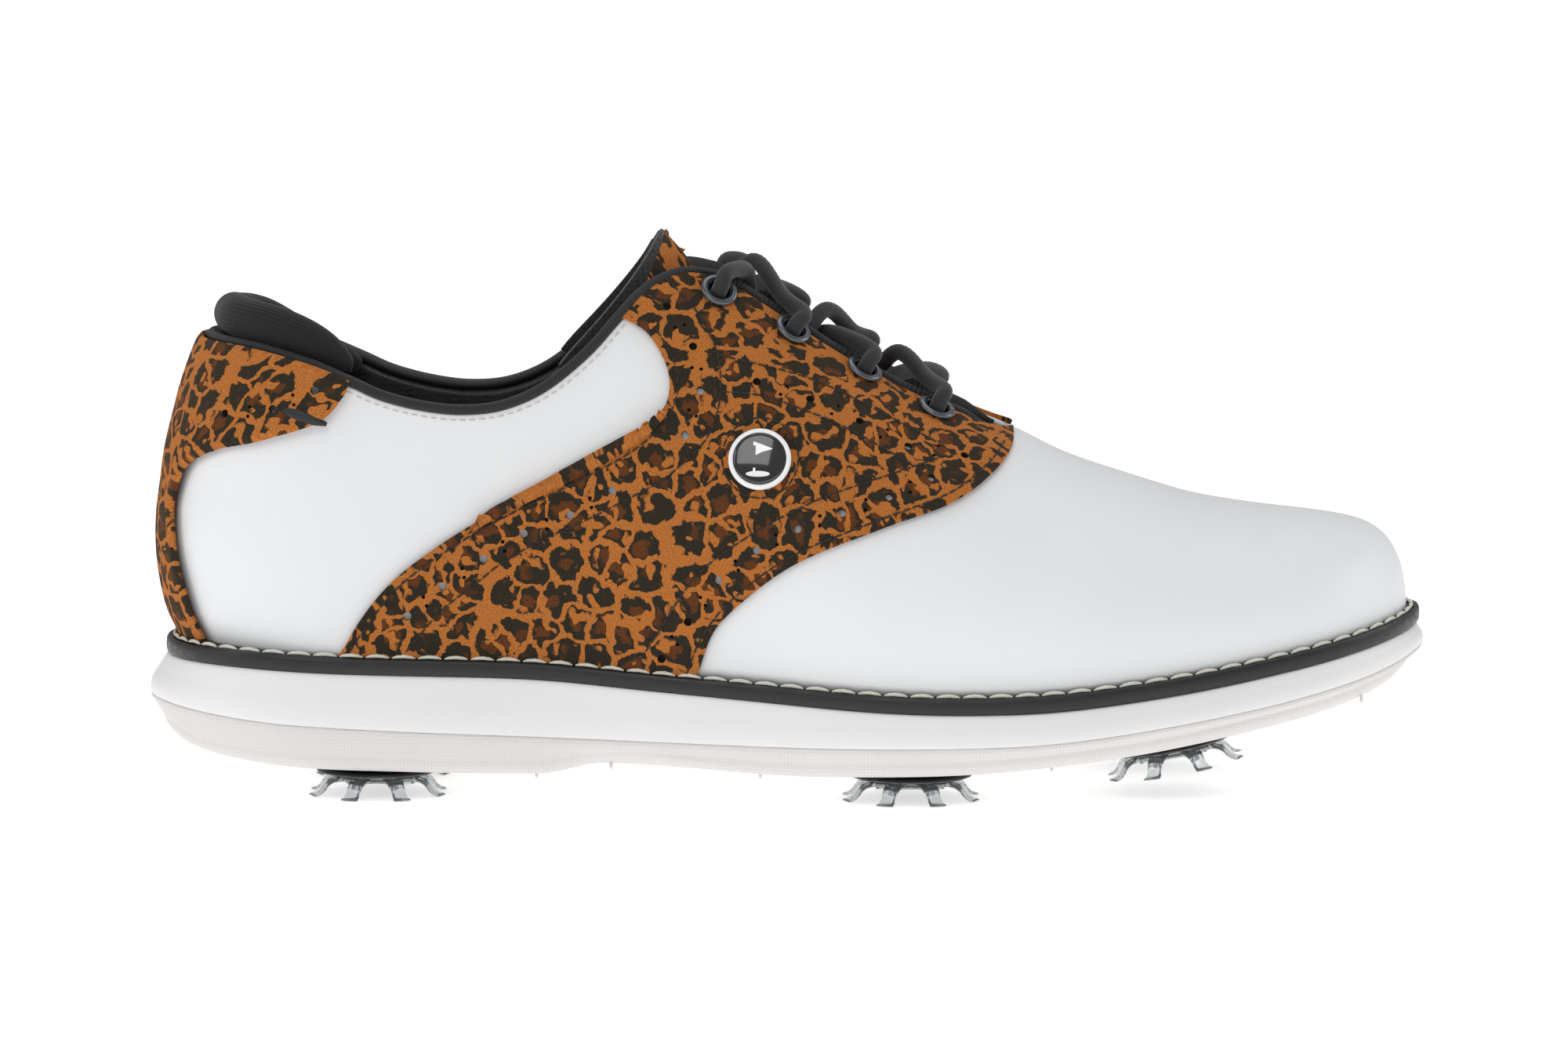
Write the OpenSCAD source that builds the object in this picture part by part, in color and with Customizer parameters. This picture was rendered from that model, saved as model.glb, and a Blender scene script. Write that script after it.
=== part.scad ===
// Spiked saddle golf shoe for the right foot, about EU 39.
// +X points to the toe, +Y to the inner (medial) side of the foot, +Z up.
// The origin is on the ground, under the middle of the shoe.

/* [Upper] */
// Thickness of the white leather
leather_t = 1.3; // [1:0.1:1.3]
// Thickness of the printed suede overlays
suede_t = 1.1; // [0.8:0.1:1.2]
// Thickness of the textile lining
lining_t = 1.0; // [0.8:0.1:1.2]
// Thickness of the toe puff and the heel counter
stiffener_t = 0.7; // [0.5:0.1:0.8]
// Room left between two layers for glue
layer_gap = 0.3; // [0.25:0.05:0.35]
// Distance from the heel over which the back of the heel rounds
heel_round = 36; // [32:1:40]
// Where the toe starts to round, seen from above
toe_start = 74; // [68:1:80]

/* [Sole] */
// Thickness of the black welt
welt_t = 3.6; // [3:0.1:4]
// Width of the welt that stands out from the leather
welt_ledge = 3.2; // [3:0.1:3.6]
// How far the midsole flares past the welt at the heel
heel_flare = 3.6; // [3:0.1:4]
// Thickness of the removable footbed
sockliner_t = 4; // [3:0.5:5]
// Number of stitches round the welt
stitch_count = 118; // [80:2:130]
// Radius of the welt thread
stitch_r = 0.45; // [0.3:0.05:0.5]

/* [Cleats] */
// Radius of a cleat's black disc
disc_r = 13.4; // [12:0.1:14]
// Radius at the tips of the clear legs
leg_r = 15.6; // [15:0.1:16]
// Number of legs on one cleat
leg_count = 8; // [6:1:9]
// Height of a cleat under its disc's top
cleat_h = 5.9; // [5.5:0.1:6]
// Radius of the bayonet stud that the cleat turns on
stud_r = 4.4; // [4:0.1:4.8]
// Radial clearance of the stud in its receptacle
stud_fit = 0.06; // [0.04:0.01:0.1]
// Distance of the heel cleats from the middle line
heel_cleat_y = 17; // [16:0.5:18]
// Distance of the ball cleats from the middle line
ball_cleat_y = 27; // [24:0.5:29]
// Distance of the toe cleats from the middle line
toe_cleat_y = 21; // [18:0.5:23]

/* [Lacing] */
// Outer radius of an eyelet's flange
eyelet_r = 4.15; // [3.9:0.05:4.3]
// Radius of the hole through an eyelet
eyelet_bore_r = 2.4; // [2.2:0.1:2.5]
// Diameter of the braided lace
lace_d = 3.6; // [3.2:0.1:3.8]
// Half of the gap between the two facings
throat_half = 9.5; // [9:0.5:10]

/* [Badge] */
// Radius of the round badge
badge_r = 6.7; // [6:0.1:7.2]

/* [Hidden] */

// Side of the shoe that a piece is on: the outer side is towards -Y
lateral = -1;
medial = 1;

// Layers of the upper, as distances from the outer face of the leather
leather_in = -leather_t;
suede_in = layer_gap;
suede_out = layer_gap + suede_t;
stiff_out = leather_in - layer_gap;
stiff_in = stiff_out - stiffener_t;
lining_out = stiff_in - layer_gap;
lining_in = lining_out - lining_t;

// ---- The last: the outer face of the leather, from a few measured profiles ----
// Height of the top line of the foot, by x; behind the tongue it only shapes the sides
ridge = [[-140, 165], [-90, 158], [-60, 147], [-40, 134], [-26, 121.5], [-8, 110.5], [4, 102],
    [24, 90], [39, 83], [50, 78], [61, 72.5], [75, 67.6], [89, 63.3], [102, 61], [116, 59.3],
    [128, 57.5], [137, 55.5]];
// Height of the underside of the welt, by x
welt_under = [[-140, 29.6], [-121, 29.4], [-96, 28.3], [-57, 27.1], [-31, 25], [-5, 23.1],
    [21, 21.3], [40, 21], [60, 21.8], [85, 24.8], [111, 29.2], [124, 31.8], [139, 35.3]];
// Height of the crease between midsole and outsole, by x
crease = [[-140, 20.8], [-127, 19.2], [-109, 17.4], [-75, 15.5], [-40, 14.2], [8, 13.6],
    [49, 14.4], [70, 16.3], [101, 21.1], [121, 25.2], [132, 28.2], [140, 31.2]];
// Height of the tread, by x
tread = [[-138, 13], [-131, 10.4], [-121, 8.8], [-105, 7.2], [-85, 6.4], [-55, 5.8], [0, 6.5],
    [30, 7], [49, 8.2], [68, 10.2], [82, 12.2], [103, 16], [116, 18.6], [130, 22.4], [138, 26]];
// Half width of the upper where it meets the welt, by x
half_lateral = [[-140, 31], [-110, 31.5], [-85, 31.5], [-50, 30.5], [-20, 35.5], [10, 42.5],
    [40, 46.5], [60, 46.5], [80, 44.5], [100, 43], [137, 42]];
half_medial = [[-140, 31], [-110, 31.5], [-85, 31], [-45, 25.5], [-20, 28], [10, 36],
    [40, 42.5], [60, 44], [80, 43], [100, 41], [137, 40]];
// Sideways place of the middle line, by x: the toe bends inwards
middle = [[-140, -1.5], [-60, -1.5], [0, -1], [50, 1], [80, 3], [110, 5.5], [137, 7]];
// Lengthways place of the heel's back, by height
heel_back = [[30, -130], [34, -131.3], [39.4, -133.8], [46.3, -135.4], [53.3, -136.1],
    [60.2, -135.9], [67.1, -135], [74.1, -134], [81, -132.3], [88, -130.4], [94.9, -127.9],
    [101, -125.2], [110, -121]];
toe_tip = 136.2;
toe_drop_start = 104;
heel_end = -136.4;
toe_end = 139.1;

function mix(a, b, t) = a + (b - a) * t;
function clamp01(t) = min(1, max(0, t));
function unit(v) = v / norm(v);

// Value at x of a smooth curve through the points t
function knot(t, x) = max([for (k = [0 : len(t) - 2]) if (k == 0 || t[k][0] <= x) k]);
function knot_slope(t, k) =
    let (a = max(0, k - 1), b = min(len(t) - 1, k + 1))
    (t[b][1] - t[a][1]) / (t[b][0] - t[a][0]);
function read(t, x) =
    let (k = knot(t, x), h = t[k + 1][0] - t[k][0], u = clamp01((x - t[k][0]) / h))
    (2 * u * u * u - 3 * u * u + 1) * t[k][1] + (u * u * u - 2 * u * u + u) * h * knot_slope(t, k)
    + (3 * u * u - 2 * u * u * u) * t[k + 1][1] + (u * u * u - u * u) * h * knot_slope(t, k + 1);

// Point at t, from 0 to 1, on a smooth line through the points p
function along(p, t) =
    let (n = len(p) - 1, s = t * n, k = min(n - 1, floor(s)), u = s - k,
        a = p[max(0, k - 1)], b = p[k], c = p[k + 1], d = p[min(n, k + 2)])
    0.5 * (2 * b + (c - a) * u + (2 * a - 5 * b + 4 * c - d) * u * u
    + (3 * b - a - 3 * c + d) * u * u * u);

function feather_z(x) = read(welt_under, x) + welt_t;
function crown_z(x, off) =
    let (u = clamp01((x - toe_drop_start) / (toe_tip + off - toe_drop_start)))
    feather_z(x) + (read(ridge, x) + off - feather_z(x)) * pow(1 - pow(u, 8), 1 / 2.2);
function section(rise) = pow(1 - pow(clamp01(rise), 2.1), 1 / 2.35)
    * (1 + 0.05 * sin(180 * clamp01(rise)));
function rounding(u) = pow(1 - pow(u, 2.3), 1 / 2.1);
// Half width; the two sides grow alike towards the top of the foot
function half_of(x, side, rise) =
    let (a = read(half_lateral, x), b = read(half_medial, x))
    mix(side < 0 ? a : b, (a + b) / 2, rise * rise);

// Point of the last at x, at a part of the height, moved out by off
function last_point(x, z, rise, side, off) =
    let (heel_u = clamp01(1 - (x - read(heel_back, z)) / heel_round),
        toe_u = clamp01((x - toe_start) / (toe_tip - toe_start)),
        px = x - heel_u * off + toe_u * off,
        half = (half_of(px, side, clamp01(rise)) + off) * rounding(heel_u) * rounding(toe_u) * section(rise))
    [px, read(middle, px) + side * half,
        feather_z(px) + clamp01(rise) * (crown_z(px, off) - feather_z(px))];
// Lengthways place at which the heel's back meets the welt
heel_foot = read(heel_back, feather_z(-131));
// Point of the last at [x, z] in side elevation
function on_last(p, side, off) =
    let (foot = feather_z(p[0]), top = crown_z(p[0], 0))
    last_point(p[0], p[1], (p[1] - foot) / (top - foot), side, off);
// [x, z] of a part of the height at x
function at_rise(x, rise) = [x, mix(feather_z(x), crown_z(x, 0), rise)];

// Outline points measured from the back of the heel, and back again
function from_heel(p) = [for (q = p) [q[0] - read(heel_back, q[1]), q[1]]];
function to_last(q) = [max(0, q[0]) + read(heel_back, q[1]), q[1]];
// Patch between four edges in side elevation
function patch(bottom, top, left, right, u, v) =
    to_last((1 - v) * along(bottom, u) + v * along(top, u) + (1 - u) * along(left, v)
    + u * along(right, v)
    - (1 - u) * (1 - v) * bottom[0] - u * (1 - v) * bottom[len(bottom) - 1]
    - (1 - u) * v * top[0] - u * v * top[len(top) - 1]);
function feather_line(x0, x1) = [for (i = [0 : 6]) let (x = mix(x0, x1, i / 6)) [x, feather_z(x)]];
function back_line(z0, z1) = [for (i = [0 : 6]) let (z = mix(z0, z1, i / 6)) [read(heel_back, z), z]];

// ---- Outlines of the panels in side elevation ----
collar_line = [[-126.45, 99.8], [-115, 98.8], [-104, 96], [-95, 92.3], [-88, 89.2], [-79, 86.9],
    [-70, 86], [-61, 87.1], [-52, 91.1], [-43, 98.3], [-36, 106], [-30.5, 111.6], [-24, 114.6],
    [-17.5, 114.1]];
// Part of the height at which the facing's edge runs, so that the throat stays open
facing_line = [at_rise(-13, 0.975), at_rise(-3, 0.979), at_rise(8, 0.981), at_rise(20, 0.983),
    at_rise(31, 0.984), at_rise(40, 0.99), at_rise(46, 0.999)];
edge_drop = 1.6;
suede_drop = 0.3;
panel_top = concat([for (p = collar_line) p - [0, edge_drop]],
    [for (p = facing_line) p - [0.4, 0.5]]);
vamp_rear = [[0, -30], [0.13, -24], [0.235, -16], [0.34, -4], [0.49, 14], [0.64, 28],
    [0.77, 38], [0.94, 46.5], [1, 48.5]];
seam_gap = 0.5;
saddle_rear = [[-97.5, feather_z(-97.5)], [-93.5, 38.5], [-84, 49.7], [-67, 61], [-47.4, 70.6],
    [-33.5, 78.2], [-26.6, 85.6], [-26, 93], [-30.2, 100.5], [-36, 106 - edge_drop - suede_drop]];
saddle_front = [[-20.3, feather_z(-20.3)], [-17.2, 35.5], [-10.8, 43.6], [2, 52.9],
    [20, 60], [35.5, 65.2], [44.5, 70.8], [48.6, 75], [49.4, at_rise(49.4, 0.999)[1]]];
saddle_top = concat([for (k = [10 : 13]) collar_line[k] - [0, edge_drop + suede_drop]],
    [for (k = [0 : 6]) facing_line[k] - [0.4, 0.5 + suede_drop]],
    [[49.4, at_rise(49.4, 0.999)[1]]]);
foxing_front = [[-125.5, feather_z(-125.5)], [-129.5, 43], [-132.3, 55], [-132, 66],
    [-126.5, 75.6], [-112, 79.6], [-101, 83], [-96.2, 88], [-95.2, 92.3 - edge_drop - suede_drop]];
counter_front = [[-72, feather_z(-72)], [-76, 45], [-84, 60], [-94, 70]];

// ---- Solids from grids of points ----
function grid_id(i, j, cols) = i * cols + j;
function grid_tris(rows, cols) = [for (i = [0 : rows - 2], j = [0 : cols - 2])
    each [[grid_id(i, j, cols), grid_id(i, j + 1, cols), grid_id(i + 1, j + 1, cols)],
        [grid_id(i, j, cols), grid_id(i + 1, j + 1, cols), grid_id(i + 1, j, cols)]]];
function grid_loop(rows, cols) = concat(
    [for (j = [0 : cols - 1]) grid_id(0, j, cols)],
    [for (i = [1 : rows - 1]) grid_id(i, cols - 1, cols)],
    [for (j = [cols - 2 : -1 : 0]) grid_id(rows - 1, j, cols)],
    [for (i = [rows - 2 : -1 : 1]) grid_id(i, 0, cols)]);

// Closed sheet between an outer and an inner layer of points
module sheet(outer, inner, tris, loop, flip) {
    n = len(outer);
    m = len(loop);
    faces = concat(tris, [for (t = tris) [t[0] + n, t[2] + n, t[1] + n]],
        [for (k = [0 : m - 1]) let (a = loop[k], b = loop[(k + 1) % m])
            each [[b, a, a + n], [b, a + n, b + n]]]);
    polyhedron(concat(outer, inner), flip ? [for (f = faces) [f[0], f[2], f[1]]] : faces);
}

// Panel on one side of the upper
module panel(side, bottom, top, left, right, off_out, off_in, rows, cols, ease = 1) {
    b = from_heel(bottom);
    t = from_heel(top);
    l = from_heel(left);
    r = from_heel(right);
    function layer(off) = [for (i = [0 : rows - 1], j = [0 : cols - 1])
        on_last(patch(b, t, l, r, pow(j / (cols - 1), ease), i / (rows - 1)), side, off)];
    sheet(layer(off_out), layer(off_in), grid_tris(rows, cols), grid_loop(rows, cols), side < 0);
}

// Panel that wraps round the heel, the same on both sides, out to its front edge
module heel_wrap(bottom, top, front, off_out, off_in, rows, half_cols, ease) {
    cols = 2 * half_cols + 1;
    b = from_heel(bottom);
    t = from_heel(top);
    f = from_heel(front);
    ends = [f[0], f[len(f) - 1]];
    function place(u, v) =
        let (edge = along(f, v), low = read(b, u * ends[0][0]), high = read(t, u * ends[1][0]),
            skew = edge[1] - mix(ends[0][1], ends[1][1], v))
        to_last([u * edge[0], mix(low, high, v) + u * skew]);
    function layer(off) = [for (i = [0 : rows - 1], j = [-half_cols : half_cols])
        on_last(place(pow(abs(j) / half_cols, ease), i / (rows - 1)), j < 0 ? lateral : medial, off)];
    sheet(layer(off_out), layer(off_in), grid_tris(rows, cols), grid_loop(rows, cols), false);
}

// Cap over the front of the foot, from a rear edge given by part of the height to the tip
toe_rows = 10;
function toe_rise(i) = pow(sin(90 * (1 - abs(i) / toe_rows)), 0.95);
module toe_cap(rear, off_out, off_in, cols) {
    rows = 2 * toe_rows + 1;
    function column(x0, j) = mix(x0, toe_tip, sin(90 * j / (cols + 0.6)));
    function layer(off) = concat([for (i = [-toe_rows : toe_rows], j = [0 : cols - 1])
        let (rise = toe_rise(i), x = column(read(rear, rise), j))
        last_point(x, 60, rise, i < 0 ? lateral : medial, off)],
        [last_point(toe_tip, 60, 0, lateral, off)]);
    apex = rows * cols;
    tris = concat(grid_tris(rows, cols), [for (i = [0 : rows - 2])
        [grid_id(i + 1, cols - 1, cols), grid_id(i, cols - 1, cols), apex]]);
    loop = concat([for (j = [0 : cols - 1]) j], [apex],
        [for (j = [cols - 1 : -1 : 0]) grid_id(rows - 1, j, cols)],
        [for (i = [rows - 2 : -1 : 1]) grid_id(i, 0, cols)]);
    sheet(layer(off_out), layer(off_in), tris, loop, true);
}

// Solid through rings of the same number of points, one above the other; caps cross over
ring_n = 30;
module loft(rings) {
    n = len(rings[0]);
    m = len(rings);
    walls = [for (i = [0 : m - 2], k = [0 : n - 1]) let (a = i * n + k, b = i * n + (k + 1) % n)
        each [[a, b + n, b], [a, a + n, b + n]]];
    caps = [for (k = [0 : n / 2 - 1]) let (a = k, b = k + 1, c = n - k - 1, d = (n - k) % n)
        each concat(c == b ? [] : [[a, b, c]], d == a ? [] : [[a, c, d]])];
    top = (m - 1) * n;
    polyhedron([for (r = rings) each r],
        concat(walls, caps, [for (f = caps) [top + f[0], top + f[2], top + f[1]]]));
}

// Ring of points round the shoe: heel, outer side, toe, inner side
function station(k) = (1 - cos(180 * k / ring_n)) / 2;
function round_ring(left, right) = concat([for (k = [0 : ring_n]) left(k)],
    [for (k = [ring_n - 1 : -1 : 1]) right(k)]);
// Ring at the sole's outline, grown by a heel, a toe and a side distance
function sole_point(k, side, grow, heights, lift) =
    let (x0 = heel_end - grow[0], x1 = toe_end + grow[1], x = mix(x0, x1, station(k)),
        heel_u = clamp01(1 - (x - x0) / (heel_round + grow[0])),
        toe_u = clamp01((x - toe_start) / (x1 - toe_start)),
        half = (half_of(x, side, 0) + welt_ledge + grow[2]) * rounding(heel_u) * rounding(toe_u))
    [x, read(middle, x) + side * half, read(heights, x) + lift];
function sole_ring(grow, heights, lift) = round_ring(
    function(k) sole_point(k, lateral, grow, heights, lift),
    function(k) sole_point(k, medial, grow, heights, lift));
// Ring inside the upper, at a distance from the leather's outer face
function inner_point(k, side, off, lift) =
    let (x = mix(heel_foot, toe_tip, station(k)))
    on_last([x, feather_z(x)], side, off) + [0, 0, lift];
function inner_ring(off, lift) = round_ring(
    function(k) inner_point(k, lateral, off, lift),
    function(k) inner_point(k, medial, off, lift));

// Closed band between matching loops of points, each loop one edge of the band's section
module band(loops) {
    n = len(loops[0]);
    m = len(loops);
    polyhedron([for (r = loops) each r],
        [for (i = [0 : m - 1], k = [0 : n - 1])
            let (a = i * n + k, b = i * n + (k + 1) % n,
                c = ((i + 1) % m) * n + k, d = ((i + 1) % m) * n + (k + 1) % n)
            each [[a, d, b], [a, c, d]]]);
}

// Frames carried along a line without twist
function tangent(p, i) = unit(p[min(len(p) - 1, i + 1)] - p[max(0, i - 1)]);
function square_to(v, t) = unit(v - (v * t) * t);
function normals(p, first, i = 0) = i == len(p) ? [] :
    let (n = square_to(first, tangent(p, i))) concat([n], normals(p, n, i + 1));

// Tube along a line, its sides set by ns; width and height are its half sizes at each point
module tube(p, ns, width, height, sides) {
    m = len(p);
    points = [for (i = [0 : m - 1], k = [0 : sides - 1])
        let (a = 360 * k / sides, b = cross(tangent(p, i), ns[i]))
        p[i] + width(i) * cos(a) * ns[i] + height(i) * sin(a) * b];
    walls = [for (i = [0 : m - 2], k = [0 : sides - 1])
        let (a = i * sides + k, b = i * sides + (k + 1) % sides)
        each [[a, b + sides, b], [a, a + sides, b + sides]]];
    polyhedron(points, concat(walls, [[for (k = [0 : sides - 1]) k]],
        [[for (k = [sides - 1 : -1 : 0]) (m - 1) * sides + k]]));
}

// Outward normal of the last at [x, z]
function last_normal(p, side) =
    let (a = on_last(p - [0.5, 0], side, 0), b = on_last(p + [0.5, 0], side, 0),
        c = on_last(p - [0, 0.5], side, 0), d = on_last(p + [0, 0.5], side, 0))
    unit(cross(b - a, d - c) * side * -1);
// Children stand on the last at [x, z], with +Z outwards
module stand_on(p, side) {
    n = last_normal(p, side);
    translate(on_last(p, side, 0)) rotate([0, acos(n[2]), atan2(n[1], n[0])]) children();
}

// ---- Sole ----
cleat_places = [
    [-89.5, -heel_cleat_y, 0], [-89.5, heel_cleat_y, 0], [26.7, -ball_cleat_y, 0],
    [26.7, ball_cleat_y, 0], [84.8, -toe_cleat_y, 1], [84.8, toe_cleat_y, 1]];
toe_tilt = -10.5;
toe_cleat_lift = 5.6;
receptacle_r = 9.5;
receptacle_h = 5.8;
receptacle_gap = 0.3;
lug_reach = 1.6;
lug_h = 1.4;
lug_count = 3;
lug_arc = 44;
stud_h = 4.6;
chamber_z = 3;
pin_fn = 48;

// Children stand at a cleat's place, with z = 0 at its leg tips
module at_cleat(k) {
    place = cleat_places[k];
    translate([place[0], read(middle, place[0]) + place[1], place[2] * toe_cleat_lift])
        rotate([0, place[2] * toe_tilt, 0]) children();
}

module receptacle_blank(grow) {
    translate([0, 0, cleat_h + receptacle_gap - 2 * sign(grow)])
        cylinder(h = receptacle_h + 2 * sign(grow) + grow, r = receptacle_r + grow, $fn = pin_fn);
}

module outsole() {
    color([0.84, 0.84, 0.82]) difference() {
        loft([sole_ring([-7.6, -9.2, -7], tread, 0), sole_ring([-3.6, -4.6, -3.4], tread, 1.1),
            sole_ring([heel_flare * 0.3, -1.6, -0.8], tread, 4.2),
            sole_ring([heel_flare, 0.9, 1.8], crease, 0)]);
        for (k = [0 : 5]) at_cleat(k) receptacle_blank(0.1);
    }
}

module midsole() {
    rise = [for (p = crease) [p[0], read(welt_under, p[0]) - p[1]]];
    function part(t) = [for (i = [0 : len(crease) - 1]) crease[i] + [0, t * rise[i][1]]];
    color([0.93, 0.93, 0.93])
        loft([sole_ring([heel_flare, 0.9, 1.8], crease, 0),
            sole_ring([heel_flare * 0.86, 0.8, 1.7], part(0.3), 0),
            sole_ring([heel_flare * 0.4, 0.2, 0.9], part(0.7), 0),
            sole_ring([-0.6, -1, -0.6], welt_under, -0.05)]);
}

module welt() {
    inside = [-13, -11, -10.5];
    color([0.05, 0.05, 0.055]) band([
        sole_ring([0, 0, 0], welt_under, 0.8), sole_ring([0, 0, 0], welt_under, welt_t - 0.8),
        sole_ring([-0.8, -0.8, -0.8], welt_under, welt_t), sole_ring(inside, welt_under, welt_t),
        sole_ring(inside, welt_under, 0), sole_ring([-0.8, -0.8, -0.8], welt_under, 0)]);
}

// Stitches at equal steps round the welt
function running_length(p, i = 0, sum = 0) = i == len(p) ? [] :
    concat([sum], running_length(p, i + 1, sum + norm(p[(i + 1) % len(p)] - p[i])));
module welt_stitching() {
    line = sole_ring([-1.2, -1.1, -1.1], welt_under, welt_t + stitch_r + 0.02);
    n = len(line);
    sums = running_length(line);
    total = sums[n - 1] + norm(line[0] - line[n - 1]);
    function place(s) =
        let (k = max([for (i = [0 : n - 1]) if (sums[i] <= s) i]),
            step = (k == n - 1 ? total : sums[k + 1]) - sums[k])
        mix(line[k], line[(k + 1) % n], (s - sums[k]) / step);
    pitch = total / stitch_count;
    color([0.86, 0.84, 0.76]) for (i = [0 : stitch_count - 1]) {
        a = place((i + 0.12) * pitch);
        b = place((i + 0.88) * pitch);
        d = b - a;
        translate(a) rotate([0, acos(d[2] / norm(d)), atan2(d[1], d[0])])
            cylinder(h = norm(d), r = stitch_r, $fn = 16);
    }
}

// Spring steel strip under the arch; it lies in a slot of the filler
shank_half = 7;
shank_t = 1.2;
filler_t = 1.7;
module shank_shape(grow, lift, thick) {
    xs = [for (i = [0 : 8]) -78 + i * 12];
    lower = [for (x = xs) [x, read(welt_under, x) + lift]];
    upper = [for (i = [8 : -1 : 0]) [xs[i], read(welt_under, xs[i]) + lift + thick]];
    translate([0, read(middle, -30) + shank_half + grow, 0]) rotate([90, 0, 0])
        linear_extrude(2 * (shank_half + grow)) offset(delta = grow) polygon(concat(lower, upper));
}
module shank() {
    color([0.6, 0.61, 0.63]) shank_shape(0, 0.25, shank_t);
}
module bottom_filler() {
    edge = [-13.4, -11.4, -10.9];
    color([0.6, 0.45, 0.3]) difference() {
        loft([sole_ring(edge, welt_under, 0.05), sole_ring(edge, welt_under, filler_t)]);
        shank_shape(0.15, 0.25, shank_t);
    }
}
module insole_board() {
    edge = [-13.4, -11.4, -10.9];
    color([0.72, 0.63, 0.5])
        loft([sole_ring(edge, welt_under, filler_t + 0.1), sole_ring(edge, welt_under, welt_t - 0.1)]);
}
module sockliner() {
    color([0.16, 0.16, 0.17])
        loft([inner_ring(lining_in - 0.4, 0.1), inner_ring(lining_in - 0.5, sockliner_t)]);
}

// ---- Upper ----
module heel_counter() {
    color([0.75, 0.72, 0.66]) heel_wrap(feather_line(heel_foot, -72),
        [[-133.6, 76], [-116, 76.5], [-94, 70]], counter_front, stiff_out, stiff_in, 7, 12, 1.9);
}
module toe_puff() {
    color([0.75, 0.72, 0.66]) toe_cap([[0, 92], [1, 100]], stiff_out, stiff_in, 9);
}
module vamp() {
    color([0.9, 0.9, 0.905]) toe_cap(vamp_rear, 0, leather_in, 16);
}
module vamp_lining() {
    color([0.08, 0.08, 0.085]) toe_cap(vamp_rear, lining_out, lining_in, 16);
}

quarter_cols = 32;
quarter_ease = 1.9;
quarter_seam = concat([for (i = [0 : 9]) let (r = toe_rise(10 - i))
    at_rise(read(vamp_rear, r) - seam_gap, r)], [panel_top[len(panel_top) - 1]]);
module quarter(side, off_out, off_in) {
    difference() {
        panel(side, feather_line(heel_foot, vamp_rear[0][1] - seam_gap), panel_top,
            back_line(feather_z(heel_foot), collar_line[0][1] - edge_drop), quarter_seam,
            off_out, off_in, 11, quarter_cols, quarter_ease);
        eyelet_holes(side);
        if (side == lateral && off_out > stiff_out) badge_hole();
    }
}
module quarter_lateral() {
    color([0.9, 0.9, 0.905]) quarter(lateral, 0, leather_in);
}
module quarter_medial() {
    color([0.9, 0.9, 0.905]) quarter(medial, 0, leather_in);
}
module lining_lateral() {
    color([0.08, 0.08, 0.085]) quarter(lateral, lining_out, lining_in);
}
module lining_medial() {
    color([0.08, 0.08, 0.085]) quarter(medial, lining_out, lining_in);
}

module saddle(side) {
    difference() {
        panel(side, feather_line(-97.5, -20.3), saddle_top, saddle_rear, saddle_front,
            suede_out, suede_in, 13, 18);
        eyelet_holes(side);
        if (side == lateral) badge_hole();
    }
}
module saddle_lateral() {
    color([0.6, 0.36, 0.17]) saddle(lateral);
}
module saddle_medial() {
    color([0.6, 0.36, 0.17]) saddle(medial);
}
module heel_foxing() {
    color([0.6, 0.36, 0.17]) heel_wrap(feather_line(heel_foot, -125.5),
        [for (k = [0 : 3]) collar_line[k] - [0, edge_drop + suede_drop]], foxing_front,
        suede_out, suede_in, 13, 9, 1.8);
}

// Small pointed leather tab sewn on the foxing
tab_start = [-110.5, 85.3];
tab_end = [-99.5, 81.8];
module foxing_tab() {
    line = [for (i = [0 : 6]) on_last(mix(tab_start, tab_end, i / 6), lateral, suede_out + 0.75)];
    color([0.04, 0.04, 0.045])
        tube(line, normals(line, [0, -1, 0]), function(i) 0.6,
            function(i) 0.5 + 1.1 * sin(26 * i), 8);
}

// Ribbed binding folded over the edges of leather and lining
binding_mid = (lining_in + suede_out) / 2;
binding_half = (suede_out - lining_in) / 2 + 0.05;
binding_h = 1.15;
binding_shift = 1.35;
binding_top = from_heel(panel_top);
function binding_side(k) = k < 0 ? lateral : medial;
function binding_place(k) = to_last(along(binding_top, pow(abs(k) / (quarter_cols - 1), quarter_ease)));
module collar_binding() {
    last = quarter_cols - 1;
    edge = [for (k = [-last : last]) on_last(binding_place(k), binding_side(k), binding_mid)];
    outwards = [for (i = [0 : 2 * last]) let (k = i - last)
        square_to(k == 0 ? [-1, 0, 0] : last_normal(binding_place(k), binding_side(k)),
            tangent(edge, i))];
    line = [for (i = [0 : 2 * last]) edge[i] + binding_shift * cross(tangent(edge, i), outwards[i])];
    color([0.04, 0.04, 0.045])
        tube(line, outwards, function(i) binding_half, function(i) binding_h, 6);
}

// Padded knit roll that stands above the heel's binding
pad_steps = 12;
pad_rise = [[0, 6.9], [0.4, 6.6], [0.7, 6], [0.9, 4.8], [1, 3.2]];
pad_half = [[0, 4.6], [0.4, 4.4], [0.7, 3.7], [0.9, 2.4], [1, 0.9]];
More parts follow.
